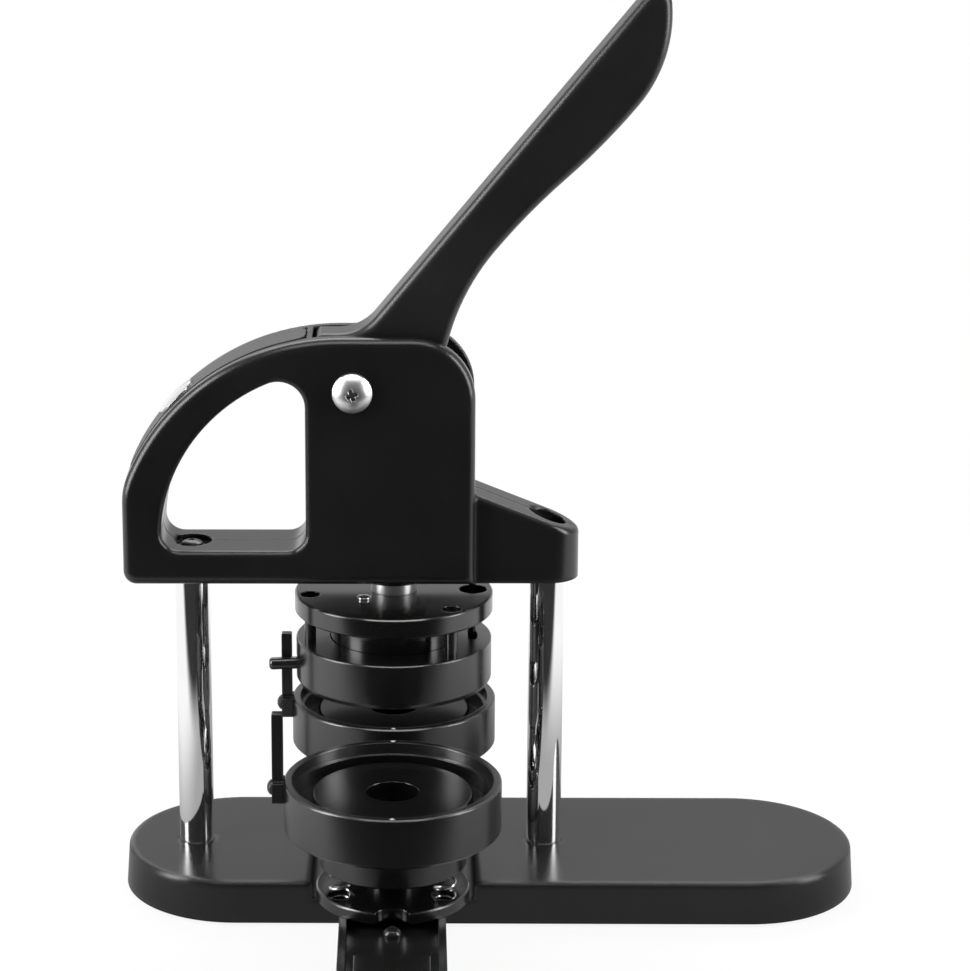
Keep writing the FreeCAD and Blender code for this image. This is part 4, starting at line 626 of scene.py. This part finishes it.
def lay_floor():
    """A pale table: white to the camera with the part's shadow; mirrored, it glows, ends in front of the
    part and carries a painted shadow about the part.
    """
    bm = bmesh.new()
    bmesh.ops.create_grid(bm, x_segments=1, y_segments=1, size=4)
    floor = as_object("studio_floor", bm)
    pale = Finish("floor_pale", Roughness=0.9, Base_Color=PALE)
    spot = pale.add("ShaderNodeTexCoord", {}, {}, "Object")
    depth = pale.add("ShaderNodeSeparateXYZ", {}, {0: spot}, "Y")
    away = pale.add("ShaderNodeVectorMath", {"operation": "LENGTH"}, {0: spot}, "Value")
    on_table = pale.fade(depth, TABLE_EDGE - EDGE_SOFTNESS, TABLE_EDGE + EDGE_SOFTNESS, BEYOND_TABLE)
    # Painted shadow: the mirrored floor glows less near the part.
    mirrored_painted_shadow = pale.fade(away, start=0.15, end=0.36, least=SHADED_FLOOR)
    whiten = pale.fade(away, start=0.25, end=0.9, least=FLOOR_WHITE)
    seen = pale.add("ShaderNodeLightPath", {}, {}, "Is Camera Ray")
    glossy = pale.add("ShaderNodeLightPath", {}, {}, "Is Glossy Ray")
    matt = Signal(pale, pale.shader.outputs[0])
    glow = pale.add("ShaderNodeEmission", {}, {"Color": WHITE, "Strength": 1.0})
    mirrored = pale.add("ShaderNodeMixShader", {}, {0: on_table * mirrored_painted_shadow, 2: glow})
    struck = pale.add("ShaderNodeMixShader", {}, {0: glossy, 1: matt, 2: mirrored})
    surface = pale.add("ShaderNodeMixShader", {}, {0: seen * whiten, 1: struck, 2: glow})
    pale.show("Material Output", surface)
    floor.data.materials.append(pale.material)


def light_world():
    """White to the camera; to the part, pale behind it and dim in front, so that black faces stay black."""
    world = bpy.data.worlds.new("studio")
    world.use_nodes = True
    bpy.context.scene.world = world
    room = Network(world.node_tree)
    heading = room.add("ShaderNodeTexCoord", {}, {}, "Generated")
    depth = room.add("ShaderNodeSeparateXYZ", {}, {0: heading}, "Y")
    front, back, bright = (room.add("ShaderNodeBackground", {}, {"Color": WHITE, "Strength": strength})
                           for strength in (FRONT_WALL, BACK_WALL, 1.0))
    behind = room.fade(depth, -WALLS_MEET, WALLS_MEET)
    walls = room.add("ShaderNodeMixShader", {}, {0: behind, 1: front, 2: back})
    seen = room.add("ShaderNodeLightPath", {}, {}, "Is Camera Ray")
    surround = room.add("ShaderNodeMixShader", {}, {0: seen, 1: walls, 2: bright})
    room.show("World Output", surround)


def softbox(name, place, target, width, height, power):
    """A soft rectangular lamp that faces its target."""
    light = bpy.data.lights.new(name, "AREA")
    light.shape = "RECTANGLE"
    light.size = width
    light.size_y = height
    light.energy = power
    lamp = bpy.data.objects.new(name, light)
    lamp.matrix_world = aim(Vector(place), Vector(place) - Vector(target))
    bpy.context.scene.collection.objects.link(lamp)


def hang_softboxes():
    """Tall panels on both sides, one behind on the left, one above the back and a strip overhead."""
    softbox("left_panel", (-0.85, -0.25, 0.5), (0, 0, 0.25), width=0.35, height=0.9, power=9.5)
    softbox("right_panel", (0.85, -0.25, 0.5), (0, 0, 0.25), width=0.35, height=0.9, power=7.5)
    softbox("rim_panel", (-0.62, 1.0, 0.5), (0, 0, 0.35), width=0.5, height=0.8, power=1)
    softbox("back_softbox", (0, 0.9, 1.2), (0, 0, 0.1), width=1.4, height=0.6, power=10)
    softbox("overhead_strip", (0, -0.45, 1.5), (0, 0, 0.2), width=1.2, height=0.4, power=7)


def set_camera():
    """The photograph's view: a long lens, a little above the dies, shifted to the framing."""
    place = Vector((-0.03467, -1.190663, 0.518352))
    pitch, yaw, roll = (math.radians(angle) for angle in (13.966, -0.903, -0.192))
    focal, frame_width, frame_height = 2979.487, 970, 971
    optical_x, optical_y = 362.68, 377.53
    ahead = Vector((math.sin(yaw) * math.cos(pitch), math.cos(yaw) * math.cos(pitch), -math.sin(pitch)))
    level = Vector((math.cos(yaw), -math.sin(yaw), 0))
    above = level.cross(ahead)
    across = math.cos(roll) * level + math.sin(roll) * above
    upward = math.cos(roll) * above - math.sin(roll) * level
    data = bpy.data.cameras.new("camera")
    data.sensor_fit = "HORIZONTAL"
    data.sensor_width = 36
    data.lens = focal * data.sensor_width / frame_width
    data.shift_x = (frame_width / 2 - optical_x) / frame_width
    data.shift_y = (optical_y - frame_height / 2) / frame_width
    data.clip_end = 20
    camera = bpy.data.objects.new("camera", data)
    turn = Matrix((across, upward, -ahead)).transposed().to_4x4()
    camera.matrix_world = Matrix.Translation(place) @ turn
    bpy.context.scene.collection.objects.link(camera)
    bpy.context.scene.camera = camera


finish_solids()
fit_screws()
fit_shell_screws()
fit_keeper_screws()
fit_dies()
lay_floor()
light_world()
hang_softboxes()
set_camera()
bpy.context.scene.view_settings.view_transform = "Standard"
